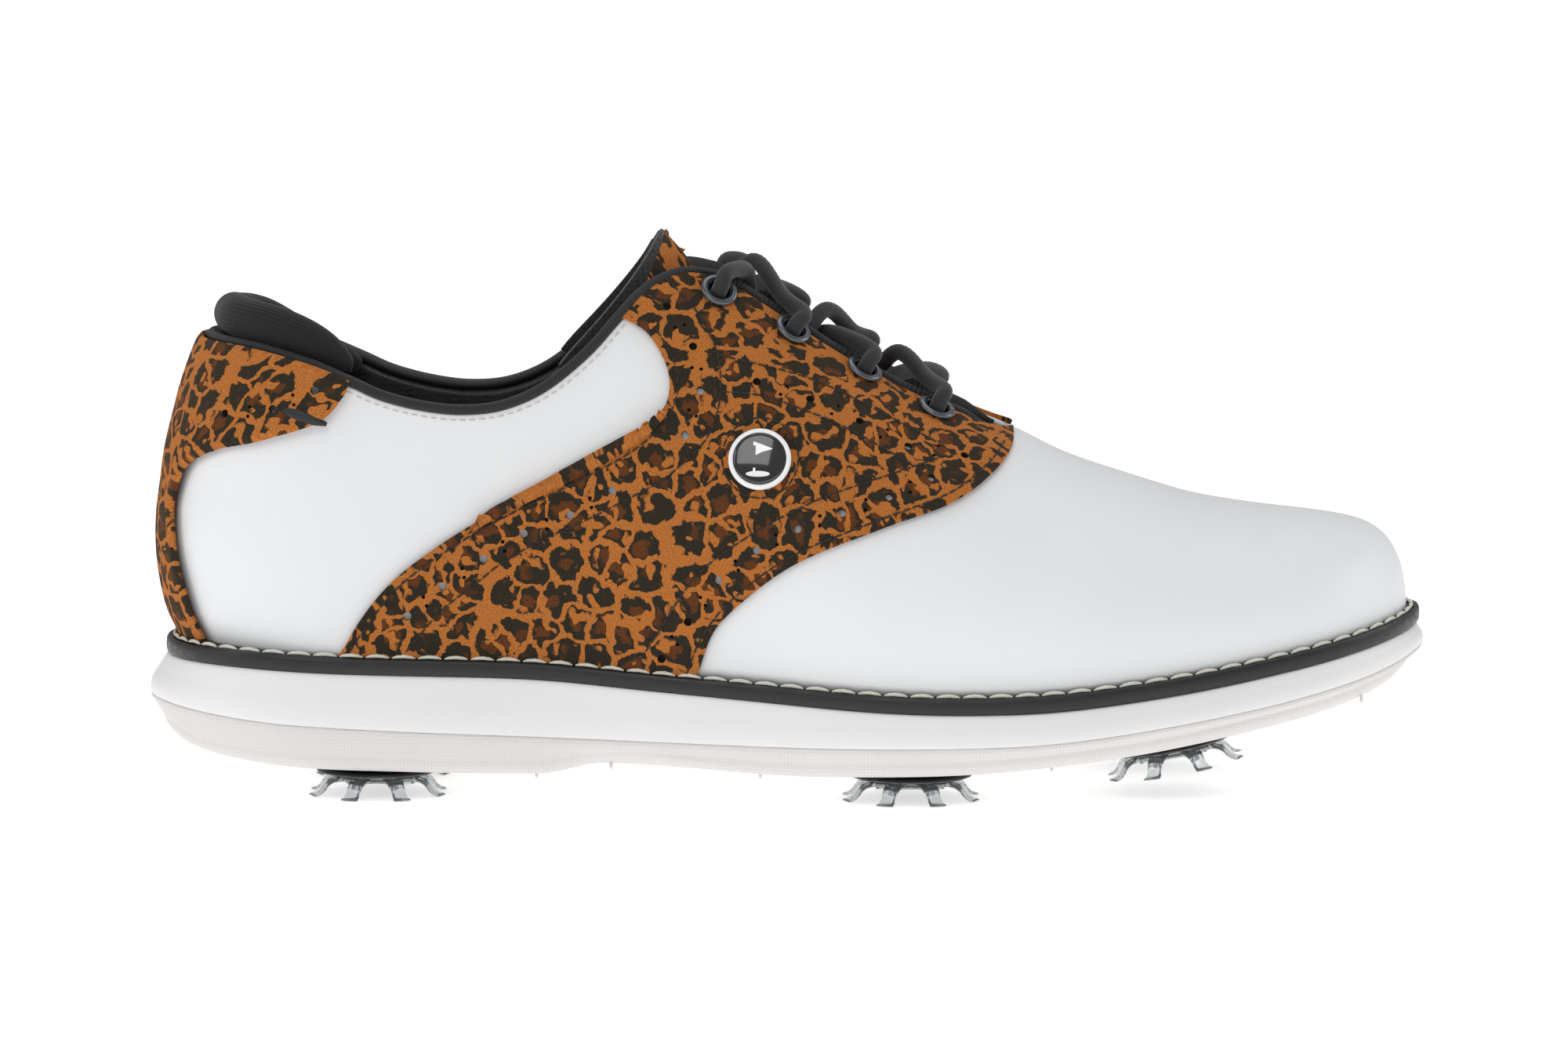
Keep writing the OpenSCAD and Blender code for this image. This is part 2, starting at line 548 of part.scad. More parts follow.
// On the medial side the pad lies lower and further in
pad_inset = [[0, 0], [0.15, 1.2], [0.3, 2.6], [0.5, 3.2], [0.8, 2.6], [1, 1.5]];
pad_drop = [[0, 0], [0.15, 0.8], [0.3, 3], [0.5, 5.2], [0.8, 5], [1, 3]];
function pad_point(k) =
    let (t = abs(k) / pad_steps, p = along([for (i = [0 : 3]) collar_line[i]], t),
        inset = k < 0 ? 0 : read(pad_inset, t), drop = k < 0 ? 0 : read(pad_drop, t))
    on_last(p, k < 0 ? lateral : medial, -4.9 - inset) + [0, 0, read(pad_rise, t) - drop];
module collar_pad() {
    line = [for (k = [-pad_steps : pad_steps]) pad_point(k)];
    color([0.05, 0.05, 0.055]) tube(line, normals(line, [0, -1, 0]),
        function(i) read(pad_half, abs(i - pad_steps) / pad_steps) * 0.98,
        function(i) read(pad_half, abs(i - pad_steps) / pad_steps), 10);
}

// ---- Tongue: three layers on the same grid ----
tongue_root = [56, 60];
tongue_ridge = [for (x = [56, 44, 32, 20, 8, -4, -14, -22, -27.5]) [x, read(ridge, x)]];
tongue_edge = [[54, 64], [42, 64], [30, 66], [18, 70], [5, 76], [-9, 82], [-24, 88], [-38, 93.5],
    [-49.5, 97.5]];
tongue_rows = 15;
tongue_half_cols = 6;
// Depth of the tongue's face under the leather's outer face, by part of its length
tongue_sink = [[0, -5.6], [0.12, -10.7], [0.78, -10.7], [0.9, -6.6], [1, -4.5]];
tongue_swell = [[0, 0], [0.32, 0], [0.42, 3.4], [0.76, 3.6], [0.88, 4.6], [1, 4.2]];
module tongue_layer(top, bottom) {
    cols = 2 * tongue_half_cols + 1;
    function place(i, j, depth) =
        let (v = i / (tongue_rows - 1), a = abs(j) / tongue_half_cols,
            p = mix(along(tongue_ridge, v), along(tongue_edge, v), pow(a, 2.3)),
            swell = read(tongue_swell, v) * pow(cos(90 * min(1, a * mix(3, 1.1, clamp01(8 * v - 6.4)))), 2))
        on_last(p, j < 0 ? lateral : medial, read(tongue_sink, v) + swell - depth);
    function layer(depth) = [for (i = [0 : tongue_rows - 1], j = [-tongue_half_cols : tongue_half_cols])
        place(i, j, depth)];
    sheet(layer(top), layer(bottom), grid_tris(tongue_rows, cols), grid_loop(tongue_rows, cols), true);
}
module tongue_face() {
    color([0.6, 0.36, 0.17]) tongue_layer(0, 1);
}
module tongue_foam() {
    color([0.2, 0.2, 0.2]) tongue_layer(1.1, 3.9);
}
module tongue_lining() {
    color([0.06, 0.06, 0.065]) tongue_layer(4, 4.8);
}

// ---- Eyelets, lace and badge ----
eyelet_places = [[-15.5, 108.8], [0.3, 100.2], [15.9, 91.4], [31.8, 83]];
eyelet_wall = 0.35;
module eyelet_holes(side) {
    for (p = eyelet_places) stand_on(p, side)
        translate([0, 0, -8]) cylinder(h = 14, r = eyelet_bore_r + eyelet_wall + 0.1, $fn = 32);
}
flange_t = 0.8;
module eyelets(side) {
    for (p = eyelet_places) stand_on(p, side) rotate_extrude($fn = 40) polygon([
        [eyelet_bore_r, lining_in - 1.2], [eyelet_bore_r + eyelet_wall, lining_in - 1.2],
        [eyelet_bore_r + eyelet_wall, suede_out + 0.25], [eyelet_r, suede_out + 0.25],
        [eyelet_r, suede_out + 0.45], [eyelet_r - 0.5, suede_out + 0.25 + flange_t],
        [eyelet_bore_r + 0.5, suede_out + 0.25 + flange_t], [eyelet_bore_r, suede_out + 0.7]]);
}
module eyelets_lateral() {
    color([0.07, 0.07, 0.075]) eyelets(lateral);
}
module eyelets_medial() {
    color([0.07, 0.07, 0.075]) eyelets(medial);
}
washer_fit = 0.2;
module eyelet_washers(side) {
    for (p = eyelet_places) stand_on(p, side) translate([0, 0, lining_in - 0.85])
        difference() {
            cylinder(h = 0.3, r = eyelet_r - 0.8, $fn = 40);
            translate([0, 0, -1])
                cylinder(h = 3, r = eyelet_bore_r + eyelet_wall + washer_fit, $fn = 40);
        }
}
module eyelet_washers_lateral() {
    color([0.07, 0.07, 0.075]) eyelet_washers(lateral);
}
module eyelet_washers_medial() {
    color([0.07, 0.07, 0.075]) eyelet_washers(medial);
}

// The lace: one cord from tucked end to tucked end, by a bar under the front eyelets.
// Every strand comes up through an eyelet, crosses over its own facing and dives under the
// facing opposite, up to the next eyelet back.
lace_under = -7.4;
lace_over = 4.6;
lace_dive = -7.3;
tuck = -7;
strand_high = 4.9;
strand_low = 0;
// Point at an eyelet: height over the leather and distance towards the throat
function at_eyelet(k, side, height, inward) =
    let (n = last_normal(eyelet_places[k], side))
    on_last(eyelet_places[k], side, 0) + height * n + inward * square_to([0, -side, 0], n);
// Point over the throat: sideways distance from the middle and height over the leather
function at_throat(x, y, height) =
    let (half = half_of(x, lateral, 1), rise = pow(1 - pow(abs(y) / half, 2.35), 1 / 2.1))
    [x, read(middle, x) + y, mix(feather_z(x), crown_z(x, 0), rise) + height];
function through_eyelet(k, side) = [at_eyelet(k, side, lace_under, 3.4),
    at_eyelet(k, side, lace_under + 1.2, 0.4), at_eyelet(k, side, -1, 0),
    at_eyelet(k, side, lace_over - 1, 0.2), at_eyelet(k, side, lace_over + 0.3, 3)];
function strand(k, side, height) =
    let (x = eyelet_places[k][0], back = eyelet_places[k - 1][0])
    concat(through_eyelet(k, side), [at_throat(x - 1.5, side * throat_half, lace_over - 0.4),
        at_throat((x + back) / 2, 0, height),
        at_throat(back + 0.6, -side * (throat_half - 1.6), lace_dive)]);
function tucked_end(side) =
    let (x = eyelet_places[0][0] + 6)
    concat(through_eyelet(0, side), [at_throat(x - 0.3, side * throat_half, lace_over),
        at_throat(x + 0.6, side * 6.4, lace_over - 3), at_throat(x + 1, side * 5.6, -3.6),
        at_throat(x + 0.6, side * 9, lace_dive),
        on_last([-10, 102], side, tuck), on_last([-14, 92], side, tuck),
        on_last([-18, 82], side, tuck), on_last([-21, 73], side, tuck)]);
last_eyelet = len(eyelet_places) - 1;
function half_lace(side, height) = concat(
    strand(3, side, height), strand(2, -side, height), strand(1, side, height),
    tucked_end(-side));
function reversed(p) = [for (i = [len(p) - 1 : -1 : 0]) p[i]];
lace_bar = [at_throat(eyelet_places[last_eyelet][0] + 1, 0, lace_under + 0.3)];
lace_route = concat(reversed(half_lace(medial, strand_low)), lace_bar,
    half_lace(lateral, strand_high));
module lace() {
    color([0.06, 0.06, 0.065])
        tube(lace_route, normals(lace_route, [0, 0, 1]), function(i) lace_d / 2,
            function(i) lace_d / 2, 8);
}
aglet_h = 14;
module aglets() {
    n = len(lace_route) - 1;
    color([0.02, 0.02, 0.02]) for (ends = [[0, 1], [n, n - 1]]) {
        d = unit(lace_route[ends[0]] - lace_route[ends[1]]);
        translate(lace_route[ends[0]]) rotate([0, acos(d[2]), atan2(d[1], d[0])])
            translate([0, 0, 0.05]) cylinder(h = aglet_h, r = lace_d / 2 - 0.4, $fn = 24);
    }
}

badge_place = [-6, 74.6];
badge_seat = suede_out + 0.2;
module badge_hole() {
    stand_on(badge_place, lateral) translate([0, 0, -4]) cylinder(h = 8, r = 1.6, $fn = 32);
}
module badge_bezel() {
    color([0.93, 0.93, 0.93]) stand_on(badge_place, lateral) rotate_extrude($fn = 64) polygon([
        [badge_r - 0.9, badge_seat], [badge_r, badge_seat], [badge_r, badge_seat + 0.7],
        [badge_r - 0.3, badge_seat + 1.1], [badge_r - 0.9, badge_seat + 1]]);
}
module badge_enamel() {
    dome_r = 26;
    color([0.03, 0.03, 0.035]) stand_on(badge_place, lateral) intersection() {
        translate([0, 0, badge_seat]) cylinder(h = 3, r = badge_r - 0.95, $fn = 64);
        translate([0, 0, badge_seat + 1.7 - dome_r]) sphere(dome_r, $fn = 96);
    }
}
module badge_emblem() {
    color([0.93, 0.93, 0.93]) stand_on(badge_place, lateral) translate([0, 0, badge_seat + 1.72])
        cylinder(h = 0.25, r = 1.2, $fn = 32);
}
module badge_rivet() {
    color([0.5, 0.5, 0.5]) stand_on(badge_place, lateral) {
        translate([0, 0, leather_in - 0.3]) cylinder(h = badge_seat - leather_in + 0.2, r = 1.4, $fn = 32);
    }
}

// ---- Cleats ----
module cleat_receptacles() {
    color([0.2, 0.2, 0.21]) for (k = [0 : 5]) at_cleat(k) difference() {
        receptacle_blank(0);
        translate([0, 0, cleat_h]) cylinder(h = stud_h + 0.5, r = stud_r + stud_fit, $fn = pin_fn);
        translate([0, 0, cleat_h + chamber_z - 0.2])
            cylinder(h = lug_h + 0.7, r = stud_r + lug_reach + 0.6, $fn = pin_fn);
        lugs(0.3, cleat_h, chamber_z + lug_h, 360 / lug_count / 2);
    }
}
module lugs(grow, z, height, turn) {
    for (i = [0 : lug_count - 1]) rotate([0, 0, i * 360 / lug_count + turn - (lug_arc + 4 * grow) / 2])
        translate([0, 0, z]) rotate_extrude(angle = lug_arc + 4 * grow, $fn = pin_fn)
            translate([stud_r - 1, 0]) square([lug_reach + 1 + grow, height]);
}
module cleat_hub(k) {
    color([0.05, 0.05, 0.055]) at_cleat(k) {
        rotate_extrude($fn = 64) polygon([[0, cleat_h - 1.4], [9, cleat_h - 1.3],
            [disc_r - 0.4, cleat_h - 0.75], [disc_r, cleat_h - 0.45], [disc_r - 0.5, cleat_h - 0.2],
            [8, cleat_h], [0, cleat_h]]);
        translate([0, 0, cleat_h - 1]) cylinder(h = stud_h + 1, r = stud_r, $fn = pin_fn);
        lugs(0, cleat_h + chamber_z, lug_h, 0);
    }
}
module cleat_legs(k) {
    top = cleat_h - 1.5;
    leg_arc = 19;
    color([0.85, 0.88, 0.9, 0.5]) at_cleat(k) {
        rotate_extrude($fn = 64) polygon([[2.5, top - 1.3], [8.5, top - 1.3], [8.5, top], [2.5, top]]);
        for (i = [0 : leg_count - 1]) rotate([0, 0, (i + 0.5) * 360 / leg_count - leg_arc / 2])
            rotate_extrude(angle = leg_arc, $fn = 64) polygon([[7, top - 1.3], [7, top],
                [11.3, top], [13.2, top - 0.9], [14.3, top - 2.4], [leg_r, 0.4], [leg_r, 0],
                [leg_r - 2.6, 0], [12.4, 1.4], [11.3, top - 2], [9.6, top - 1.5]]);
    }
}
module cleat_1_hub() { cleat_hub(0); }
module cleat_2_hub() { cleat_hub(1); }
module cleat_3_hub() { cleat_hub(2); }
module cleat_4_hub() { cleat_hub(3); }
module cleat_5_hub() { cleat_hub(4); }
module cleat_6_hub() { cleat_hub(5); }
module cleat_1_legs() { cleat_legs(0); }
module cleat_2_legs() { cleat_legs(1); }
module cleat_3_legs() { cleat_legs(2); }
module cleat_4_legs() { cleat_legs(3); }
module cleat_5_legs() { cleat_legs(4); }
module cleat_6_legs() { cleat_legs(5); }

outsole();
midsole();
welt();
welt_stitching();
shank();
bottom_filler();
insole_board();
sockliner();
heel_counter();
toe_puff();
vamp();
vamp_lining();
quarter_lateral();
quarter_medial();
lining_lateral();
lining_medial();
saddle_lateral();
saddle_medial();
heel_foxing();
foxing_tab();
collar_binding();
collar_pad();
tongue_face();
tongue_foam();
tongue_lining();
eyelets_lateral();
eyelets_medial();
eyelet_washers_lateral();
eyelet_washers_medial();
lace();
aglets();
badge_bezel();
badge_enamel();
badge_emblem();
badge_rivet();
cleat_receptacles();
cleat_1_hub();
cleat_1_legs();
cleat_2_hub();
cleat_2_legs();
cleat_3_hub();
cleat_3_legs();
cleat_4_hub();
cleat_4_legs();
cleat_5_hub();
cleat_5_legs();
cleat_6_hub();
cleat_6_legs();
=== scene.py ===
import math

import bmesh
import bpy
import numpy as np
from mathutils import Matrix, Vector


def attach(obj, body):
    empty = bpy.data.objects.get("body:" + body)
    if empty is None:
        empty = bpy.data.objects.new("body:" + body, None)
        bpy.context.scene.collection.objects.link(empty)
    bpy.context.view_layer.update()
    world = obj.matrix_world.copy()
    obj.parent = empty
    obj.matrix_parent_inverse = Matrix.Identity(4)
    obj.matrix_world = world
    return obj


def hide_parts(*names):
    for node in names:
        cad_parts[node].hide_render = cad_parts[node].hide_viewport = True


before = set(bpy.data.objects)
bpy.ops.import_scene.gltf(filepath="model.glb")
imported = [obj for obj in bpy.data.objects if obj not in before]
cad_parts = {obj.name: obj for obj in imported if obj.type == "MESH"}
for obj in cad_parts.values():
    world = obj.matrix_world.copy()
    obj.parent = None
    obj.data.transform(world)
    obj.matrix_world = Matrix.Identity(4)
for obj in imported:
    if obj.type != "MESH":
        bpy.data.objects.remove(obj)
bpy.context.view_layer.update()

scene = bpy.context.scene

# ---- Camera ----
# A long lens a little over two metres away on the shoe's outer side, looking slightly down,
# so that the sole's far edge stays hidden and the cleats' near legs show in full.
camera_tilt = math.radians(6.5)
camera_distance = 2.2
aim = Vector((-0.00086, 0.0, 0.05735))
camera_data = bpy.data.cameras.new("camera")
camera_data.lens = 230
camera_data.sensor_width = 36
camera_data.clip_end = 60
camera = bpy.data.objects.new("camera", camera_data)
camera.location = aim + camera_distance * Vector((0, -math.cos(camera_tilt), math.sin(camera_tilt)))
camera.rotation_euler = (math.pi / 2 - camera_tilt, 0, 0)
scene.collection.objects.link(camera)
scene.camera = camera


# ---- Studio ----
# A wide white table top under soft boxes: one large and high in front, one on each side, and a
# long one overhead that draws the bright line along the toe.
def linear(hex_colour):
    """sRGB hex to the linear colour that the shaders take."""
    parts = [int(hex_colour[i:i + 2], 16) / 255 for i in (1, 3, 5)]
    return [p / 12.92 if p <= 0.04045 else ((p + 0.055) / 1.055) ** 2.4 for p in parts] + [1.0]


def add_node(tree, kind, inputs=None, **settings):
    """One node with its settings, and its inputs as values or as other nodes' outputs."""
    made = tree.nodes.new(kind)
    for key, value in settings.items():
        setattr(made, key, value)
    for key, value in (inputs or {}).items():
        if isinstance(value, bpy.types.NodeSocket):
            tree.links.new(value, made.inputs[key])
        else:
            made.inputs[key].default_value = value
    return made


def new_material(name):
    """An empty material with its output, ready for nodes."""
    material = bpy.data.materials.new(name)
    material.use_nodes = True
    material.node_tree.nodes.clear()
    return material, material.node_tree


def finish_material(tree, shader):
    add_node(tree, "ShaderNodeOutputMaterial", {"Surface": shader.outputs[0]})


bm = bmesh.new()
bmesh.ops.create_grid(bm, x_segments=2, y_segments=2, size=9)
table_mesh = bpy.data.meshes.new("table_top")
bm.to_mesh(table_mesh)
bm.free()
table_top = bpy.data.objects.new("table_top", table_mesh)
scene.collection.objects.link(table_top)

paper, tree = new_material("matt_paper")
fibres = add_node(tree, "ShaderNodeTexNoise", {"Scale": 900.0, "Detail": 2.0})
finish_material(tree, add_node(tree, "ShaderNodeBsdfPrincipled", {
    "Base Color": linear("#F4F4F4"), "Roughness": 0.9, "Specular IOR Level": 0.2,
    "Emission Color": linear("#FFFFFF"), "Emission Strength": 0.56,
    "Normal": add_node(tree, "ShaderNodeBump", {
        "Strength": 0.02, "Height": fibres.outputs[0]}).outputs[0]}))
table_mesh.materials.append(paper)

world = bpy.data.worlds.new("studio")
scene.world = world
world.use_nodes = True
world.node_tree.nodes["Background"].inputs[0].default_value = linear("#FFFFFF")
world.node_tree.nodes["Background"].inputs[1].default_value = 0.42

for name, place, power, size in (
        ("soft_box_front", (-0.5, -2.0, 1.9), 15, 1.5),
        ("soft_box_heel", (-2.1, -0.5, 1.0), 8, 1.1),
        ("soft_box_toe", (2.1, 0.3, 1.1), 9, 1.1),
        ("soft_box_top", (0.1, 0.5, 2.2), 11, 1.6)):
    light_data = bpy.data.lights.new(name, "AREA")
    light_data.energy = power
    light_data.size = size
    light = bpy.data.objects.new(name, light_data)
    light.location = place
    light.rotation_euler = (aim - Vector(place)).to_track_quat("-Z", "Y").to_euler()
    scene.collection.objects.link(light)
scene.view_settings.view_transform = "Standard"
scene.view_settings.look = "None"

# ---- The last ----
# The wooden last that the upper is pulled over: smooth profiles along its length in millimetres,
# from which every layer of the upper takes its place. The outer side is towards -Y.
lateral, medial = -1, 1
ridge = [(-140, 165), (-90, 158), (-60, 147), (-40, 134), (-26, 121.5), (-8, 110.5), (4, 102),
         (24, 90), (39, 83), (50, 78), (61, 72.5), (75, 67.6), (89, 63.3), (102, 61),
         (116, 59.3), (128, 57.5), (137, 55.5)]
welt_under = [(-140, 29.6), (-121, 29.4), (-96, 28.3), (-57, 27.1), (-31, 25), (-5, 23.1),
              (21, 21.3), (40, 21), (60, 21.8), (85, 24.8), (111, 29.2), (124, 31.8),
              (139, 35.3)]
half_lateral = [(-140, 31), (-110, 31.5), (-85, 31.5), (-50, 30.5), (-20, 35.5), (10, 42.5),
                (40, 46.5), (60, 46.5), (80, 44.5), (100, 43), (137, 42)]
half_medial = [(-140, 31), (-110, 31.5), (-85, 31), (-45, 25.5), (-20, 28), (10, 36),
               (40, 42.5), (60, 44), (80, 43), (100, 41), (137, 40)]
middle = [(-140, -1.5), (-60, -1.5), (0, -1), (50, 1), (80, 3), (110, 5.5), (137, 7)]
heel_back = [(30, -130), (34, -131.3), (39.4, -133.8), (46.3, -135.4), (53.3, -136.1),
             (60.2, -135.9), (67.1, -135), (74.1, -134), (81, -132.3), (88, -130.4),
             (94.9, -127.9), (101, -125.2), (110, -121)]
welt_t = 3.6
heel_round, toe_start, toe_tip, toe_drop_start = 36, 74, 136.2, 104
suede_out, lining_out, lining_in = 1.4, -2.6, -3.6


def read(table, x):
    """Value at x of a smooth curve through the points of a profile."""
    t = np.array(table, float)
    x = np.asarray(x, float)
    n = len(t)
    slope = np.array([(t[min(n - 1, k + 1), 1] - t[max(0, k - 1), 1])
                      / (t[min(n - 1, k + 1), 0] - t[max(0, k - 1), 0]) for k in range(n)])
    k = np.clip(np.searchsorted(t[:, 0], x, side="right") - 1, 0, n - 2)
    h = t[k + 1, 0] - t[k, 0]
    u = np.clip((x - t[k, 0]) / h, 0, 1)
    return ((2 * u**3 - 3 * u**2 + 1) * t[k, 1] + (u**3 - 2 * u**2 + u) * h * slope[k]
            + (3 * u**2 - 2 * u**3) * t[k + 1, 1] + (u**3 - u**2) * h * slope[k + 1])


def along(points, t):
    """Points at t, from 0 to 1, on a smooth line through the given points."""
    p = np.array(points, float)
    s = np.clip(np.atleast_1d(np.asarray(t, float)), 0, 1) * (len(p) - 1)
    k = np.minimum(len(p) - 2, s.astype(int))
    u = (s - k)[:, None]
    a, b, c, d = (p[np.clip(k + j, 0, len(p) - 1)] for j in (-1, 0, 1, 2))
    return 0.5 * (2 * b + (c - a) * u + (2 * a - 5 * b + 4 * c - d) * u**2
                  + (3 * b - a - 3 * c + d) * u**3)


def feather_z(x):
    return read(welt_under, x) + welt_t


def crown_z(x, off):
    u = np.clip((x - toe_drop_start) / (toe_tip + off - toe_drop_start), 0, 1)
    return feather_z(x) + (read(ridge, x) + off - feather_z(x)) * (1 - u**8) ** (1 / 2.2)


def rounding(u):
    return (1 - np.clip(u, 0, 1) ** 2.3) ** (1 / 2.1)


def half_of(x, side, rise):
    a, b = read(half_lateral, x), read(half_medial, x)
    return np.where(np.asarray(side) < 0, a, b) * (1 - rise**2) + (a + b) / 2 * rise**2


def last_point(x, z, rise, side, off):
    """Point of the last at x and at a part of the height, moved outwards by off."""
    rise = np.clip(rise, 0, 1)
    heel_u = np.clip(1 - (x - read(heel_back, z)) / heel_round, 0, 1)
    toe_u = np.clip((x - toe_start) / (toe_tip - toe_start), 0, 1)
    px = x - heel_u * off + toe_u * off
    section = (1 - rise**2.1) ** (1 / 2.35) * (1 + 0.05 * np.sin(np.pi * rise))
    half = (half_of(px, side, rise) + off) * rounding(heel_u) * rounding(toe_u) * section
    foot = feather_z(px)
    return np.stack([px, read(middle, px) + side * half,
                     foot + rise * (crown_z(px, off) - foot)], -1)


def on_last(points, side, off):
    """Points of the last at [x, z] in side elevation, moved outwards by off."""
    p = np.atleast_2d(np.asarray(points, float))
    foot, top = feather_z(p[:, 0]), crown_z(p[:, 0], 0)
    return last_point(p[:, 0], p[:, 1], (p[:, 1] - foot) / (top - foot), side, off)


def at_rise(x, rise):
    return (x, float(feather_z(x) + rise * (crown_z(x, 0) - feather_z(x))))


def outward(point, side):
    """Outward unit normal of the last at [x, z]."""
    p = np.array(point, float)
    a, b, c, d = (on_last(p + step, side, 0)[0] for step in ((-0.5, 0), (0.5, 0), (0, -0.5), (0, 0.5)))
    n = np.cross(b - a, d - c) * side * -1
    return n / np.linalg.norm(n)


# ---- Lace ----
# A round braid of black polyester, 3.6 mm thick, laced from the bar under the front eyelets to
# the two ends tucked away inside. Each strand rises through an eyelet and crosses to the one
# behind it on the other side.
eyelet_places = [(-15.5, 108.8), (0.3, 100.2), (15.9, 91.4), (31.8, 83)]
lace_d = 3.6
lace_under, lace_over, throat_half = -7.4, 4.6, 9.5
lace_dive = -7.3


def at_eyelet(k, side, height, inward):
    n = outward(eyelet_places[k], side)
    across = np.array([0, -side, 0]) - n[1] * -side * n
    return (on_last(eyelet_places[k], side, 0)[0] + height * n
            + inward * across / np.linalg.norm(across))


def at_throat(x, y, height):
    rise = (1 - (abs(y) / half_of(x, lateral, 1.0)) ** 2.35) ** (1 / 2.1)
    foot = feather_z(x)
    return np.array([x, read(middle, x) + y, foot + rise * (crown_z(x, 0) - foot) + height])


def through_eyelet(k, side):
    return [at_eyelet(k, side, lace_under, 3.4), at_eyelet(k, side, lace_under + 1.2, 0.4),
            at_eyelet(k, side, -1, 0), at_eyelet(k, side, lace_over - 1, 0.2),
            at_eyelet(k, side, lace_over + 0.3, 3)]


def strand(k, side, height):
    x, back = eyelet_places[k][0], eyelet_places[k - 1][0]
    return through_eyelet(k, side) + [
        at_throat(x - 1.5, side * throat_half, lace_over - 0.4),
        at_throat((x + back) / 2, 0, height),
        at_throat(back + 0.6, -side * (throat_half - 1.6), lace_dive)]


def tucked_end(side):
    x = eyelet_places[0][0] + 6
    return through_eyelet(0, side) + [
        at_throat(x - 0.3, side * throat_half, lace_over),
        at_throat(x + 0.6, side * 6.4, lace_over - 3), at_throat(x + 1, side * 5.6, -3.6),
        at_throat(x + 0.6, side * 9, lace_dive)] + [
        on_last(p, side, -7)[0] for p in ((-10, 102), (-14, 92), (-18, 82), (-21, 73))]


def half_lace(side, height):
    return (strand(3, side, height) + strand(2, -side, height) + strand(1, side, height)
            + tucked_end(-side))


lace_route = np.array(
    half_lace(medial, 0)[::-1] + [at_throat(eyelet_places[3][0] + 1, 0, lace_under + 0.3)]
    + half_lace(lateral, 4.9))


def evenly(points, count):
    """Points at equal steps along a smooth line through the given points."""
    fine = along(points, np.linspace(0, 1, len(points) * 12))
    sums = np.concatenate([[0], np.cumsum(np.linalg.norm(np.diff(fine, axis=0), axis=1))])
    at = np.linspace(0, sums[-1], count)
    return np.stack([np.interp(at, sums, fine[:, k]) for k in range(fine.shape[1])], -1)


def frames_along(line, first):
    """Direction, side and upward unit vectors along a line, carried without twist."""
    ways = np.gradient(line, axis=0)
    ways /= np.linalg.norm(ways, axis=1)[:, None]
    sides, hint = [], np.array(first, float)
    for way in ways:
        hint = hint - way * (hint @ way)
        hint /= np.linalg.norm(hint)
        sides.append(hint)
    sides = np.array(sides)
    return ways, sides, np.cross(ways, sides)


def grid_mesh(columns, rows, place, flat=None, weld=False):
    """A created grid whose point (u, v) is moved to place(u, v), in millimetres. flat gives the
    cut piece's own two coordinates there, kept as a UV map in metres."""
    bm = bmesh.new()
    bmesh.ops.create_grid(bm, x_segments=columns, y_segments=rows, size=0.5)
    uv = np.clip(np.array([v.co[:2] for v in bm.verts]) + 0.5, 0, 1)
    for v, p in zip(bm.verts, place(uv[:, 0], uv[:, 1]) * 0.001):
        v.co = p
    if flat is not None:
        values = flat(uv[:, 0], uv[:, 1]) * 0.001
        layer = bm.loops.layers.uv.new("cut")
        bm.verts.index_update()
        for face in bm.faces:
            for loop in face.loops:
                loop[layer].uv = values[loop.vert.index]
    if weld:
        bmesh.ops.remove_doubles(bm, verts=bm.verts, dist=2e-6)
    return bm


def tube_mesh(line, first, width, height, around, relief=None):
    """A closed tube along a line in millimetres; width and height are its half sizes by part of
    the length, and relief(turn, part) lifts its skin."""
    ways, sides, ups = frames_along(line, first)
    n = len(line)

    def place(u, v):
        k = np.rint(u * (n - 1)).astype(int)
        angle = 2 * np.pi * v
        lift = 0 if relief is None else relief(v, u)
        return (line[k] + sides[k] * ((width(u) + lift) * np.cos(angle))[:, None]
                + ups[k] * ((height(u) + lift) * np.sin(angle))[:, None])

    bm = grid_mesh(n - 1, around, place, lambda u, v: np.stack([u, v], -1) * 1000, weld=True)
    bmesh.ops.holes_fill(bm, edges=[e for e in bm.edges if e.is_boundary], sides=0)
    bmesh.ops.recalc_face_normals(bm, faces=bm.faces)
    return bm


def make_piece(name, bm, body, material, stands_for=(), sharp=40, wall=0, edge=0):
    """The finished object of a piece: smooth shaded, with a wall and rounded edges if it has
    them, riding on its body and standing for its CAD nodes."""
    mesh = bpy.data.meshes.new(name)
    bm.to_mesh(mesh)
    bm.free()
    mesh.shade_smooth()
    if sharp:
        mesh.set_sharp_from_angle(angle=math.radians(sharp))
    made = bpy.data.objects.new(name, mesh)
    scene.collection.objects.link(made)
    if wall:
        solid = made.modifiers.new("wall", "SOLIDIFY")
        solid.thickness = wall
        solid.offset = -1
        solid.use_even_offset = False
    if edge:
        bevel = made.modifiers.new("edge", "BEVEL")
        bevel.width = edge
        bevel.segments = 2
        bevel.limit_method = "ANGLE"
        bevel.angle_limit = math.radians(50)
    mesh.materials.append(material)
    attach(made, body)
    if stands_for:
        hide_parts(*stands_for)
    return made


# Braided polyester: sixteen flat yarns that pass over and under each other, each of them
# catching a soft light along its crown.
braid_turns = 8
braid_pitch = 3.1
lace_line = evenly(lace_route, 1500)
lace_mm = float(np.sum(np.linalg.norm(np.diff(lace_line, axis=0), axis=1)))


def braid(turn, part):
    lean = 2 * np.pi * part * lace_mm / braid_pitch
    a = np.cos(braid_turns / 2 * 2 * np.pi * turn + lean)
    b = np.cos(braid_turns / 2 * 2 * np.pi * turn - lean)
    return 0.16 * np.maximum(np.abs(a), np.abs(b)) - 0.16


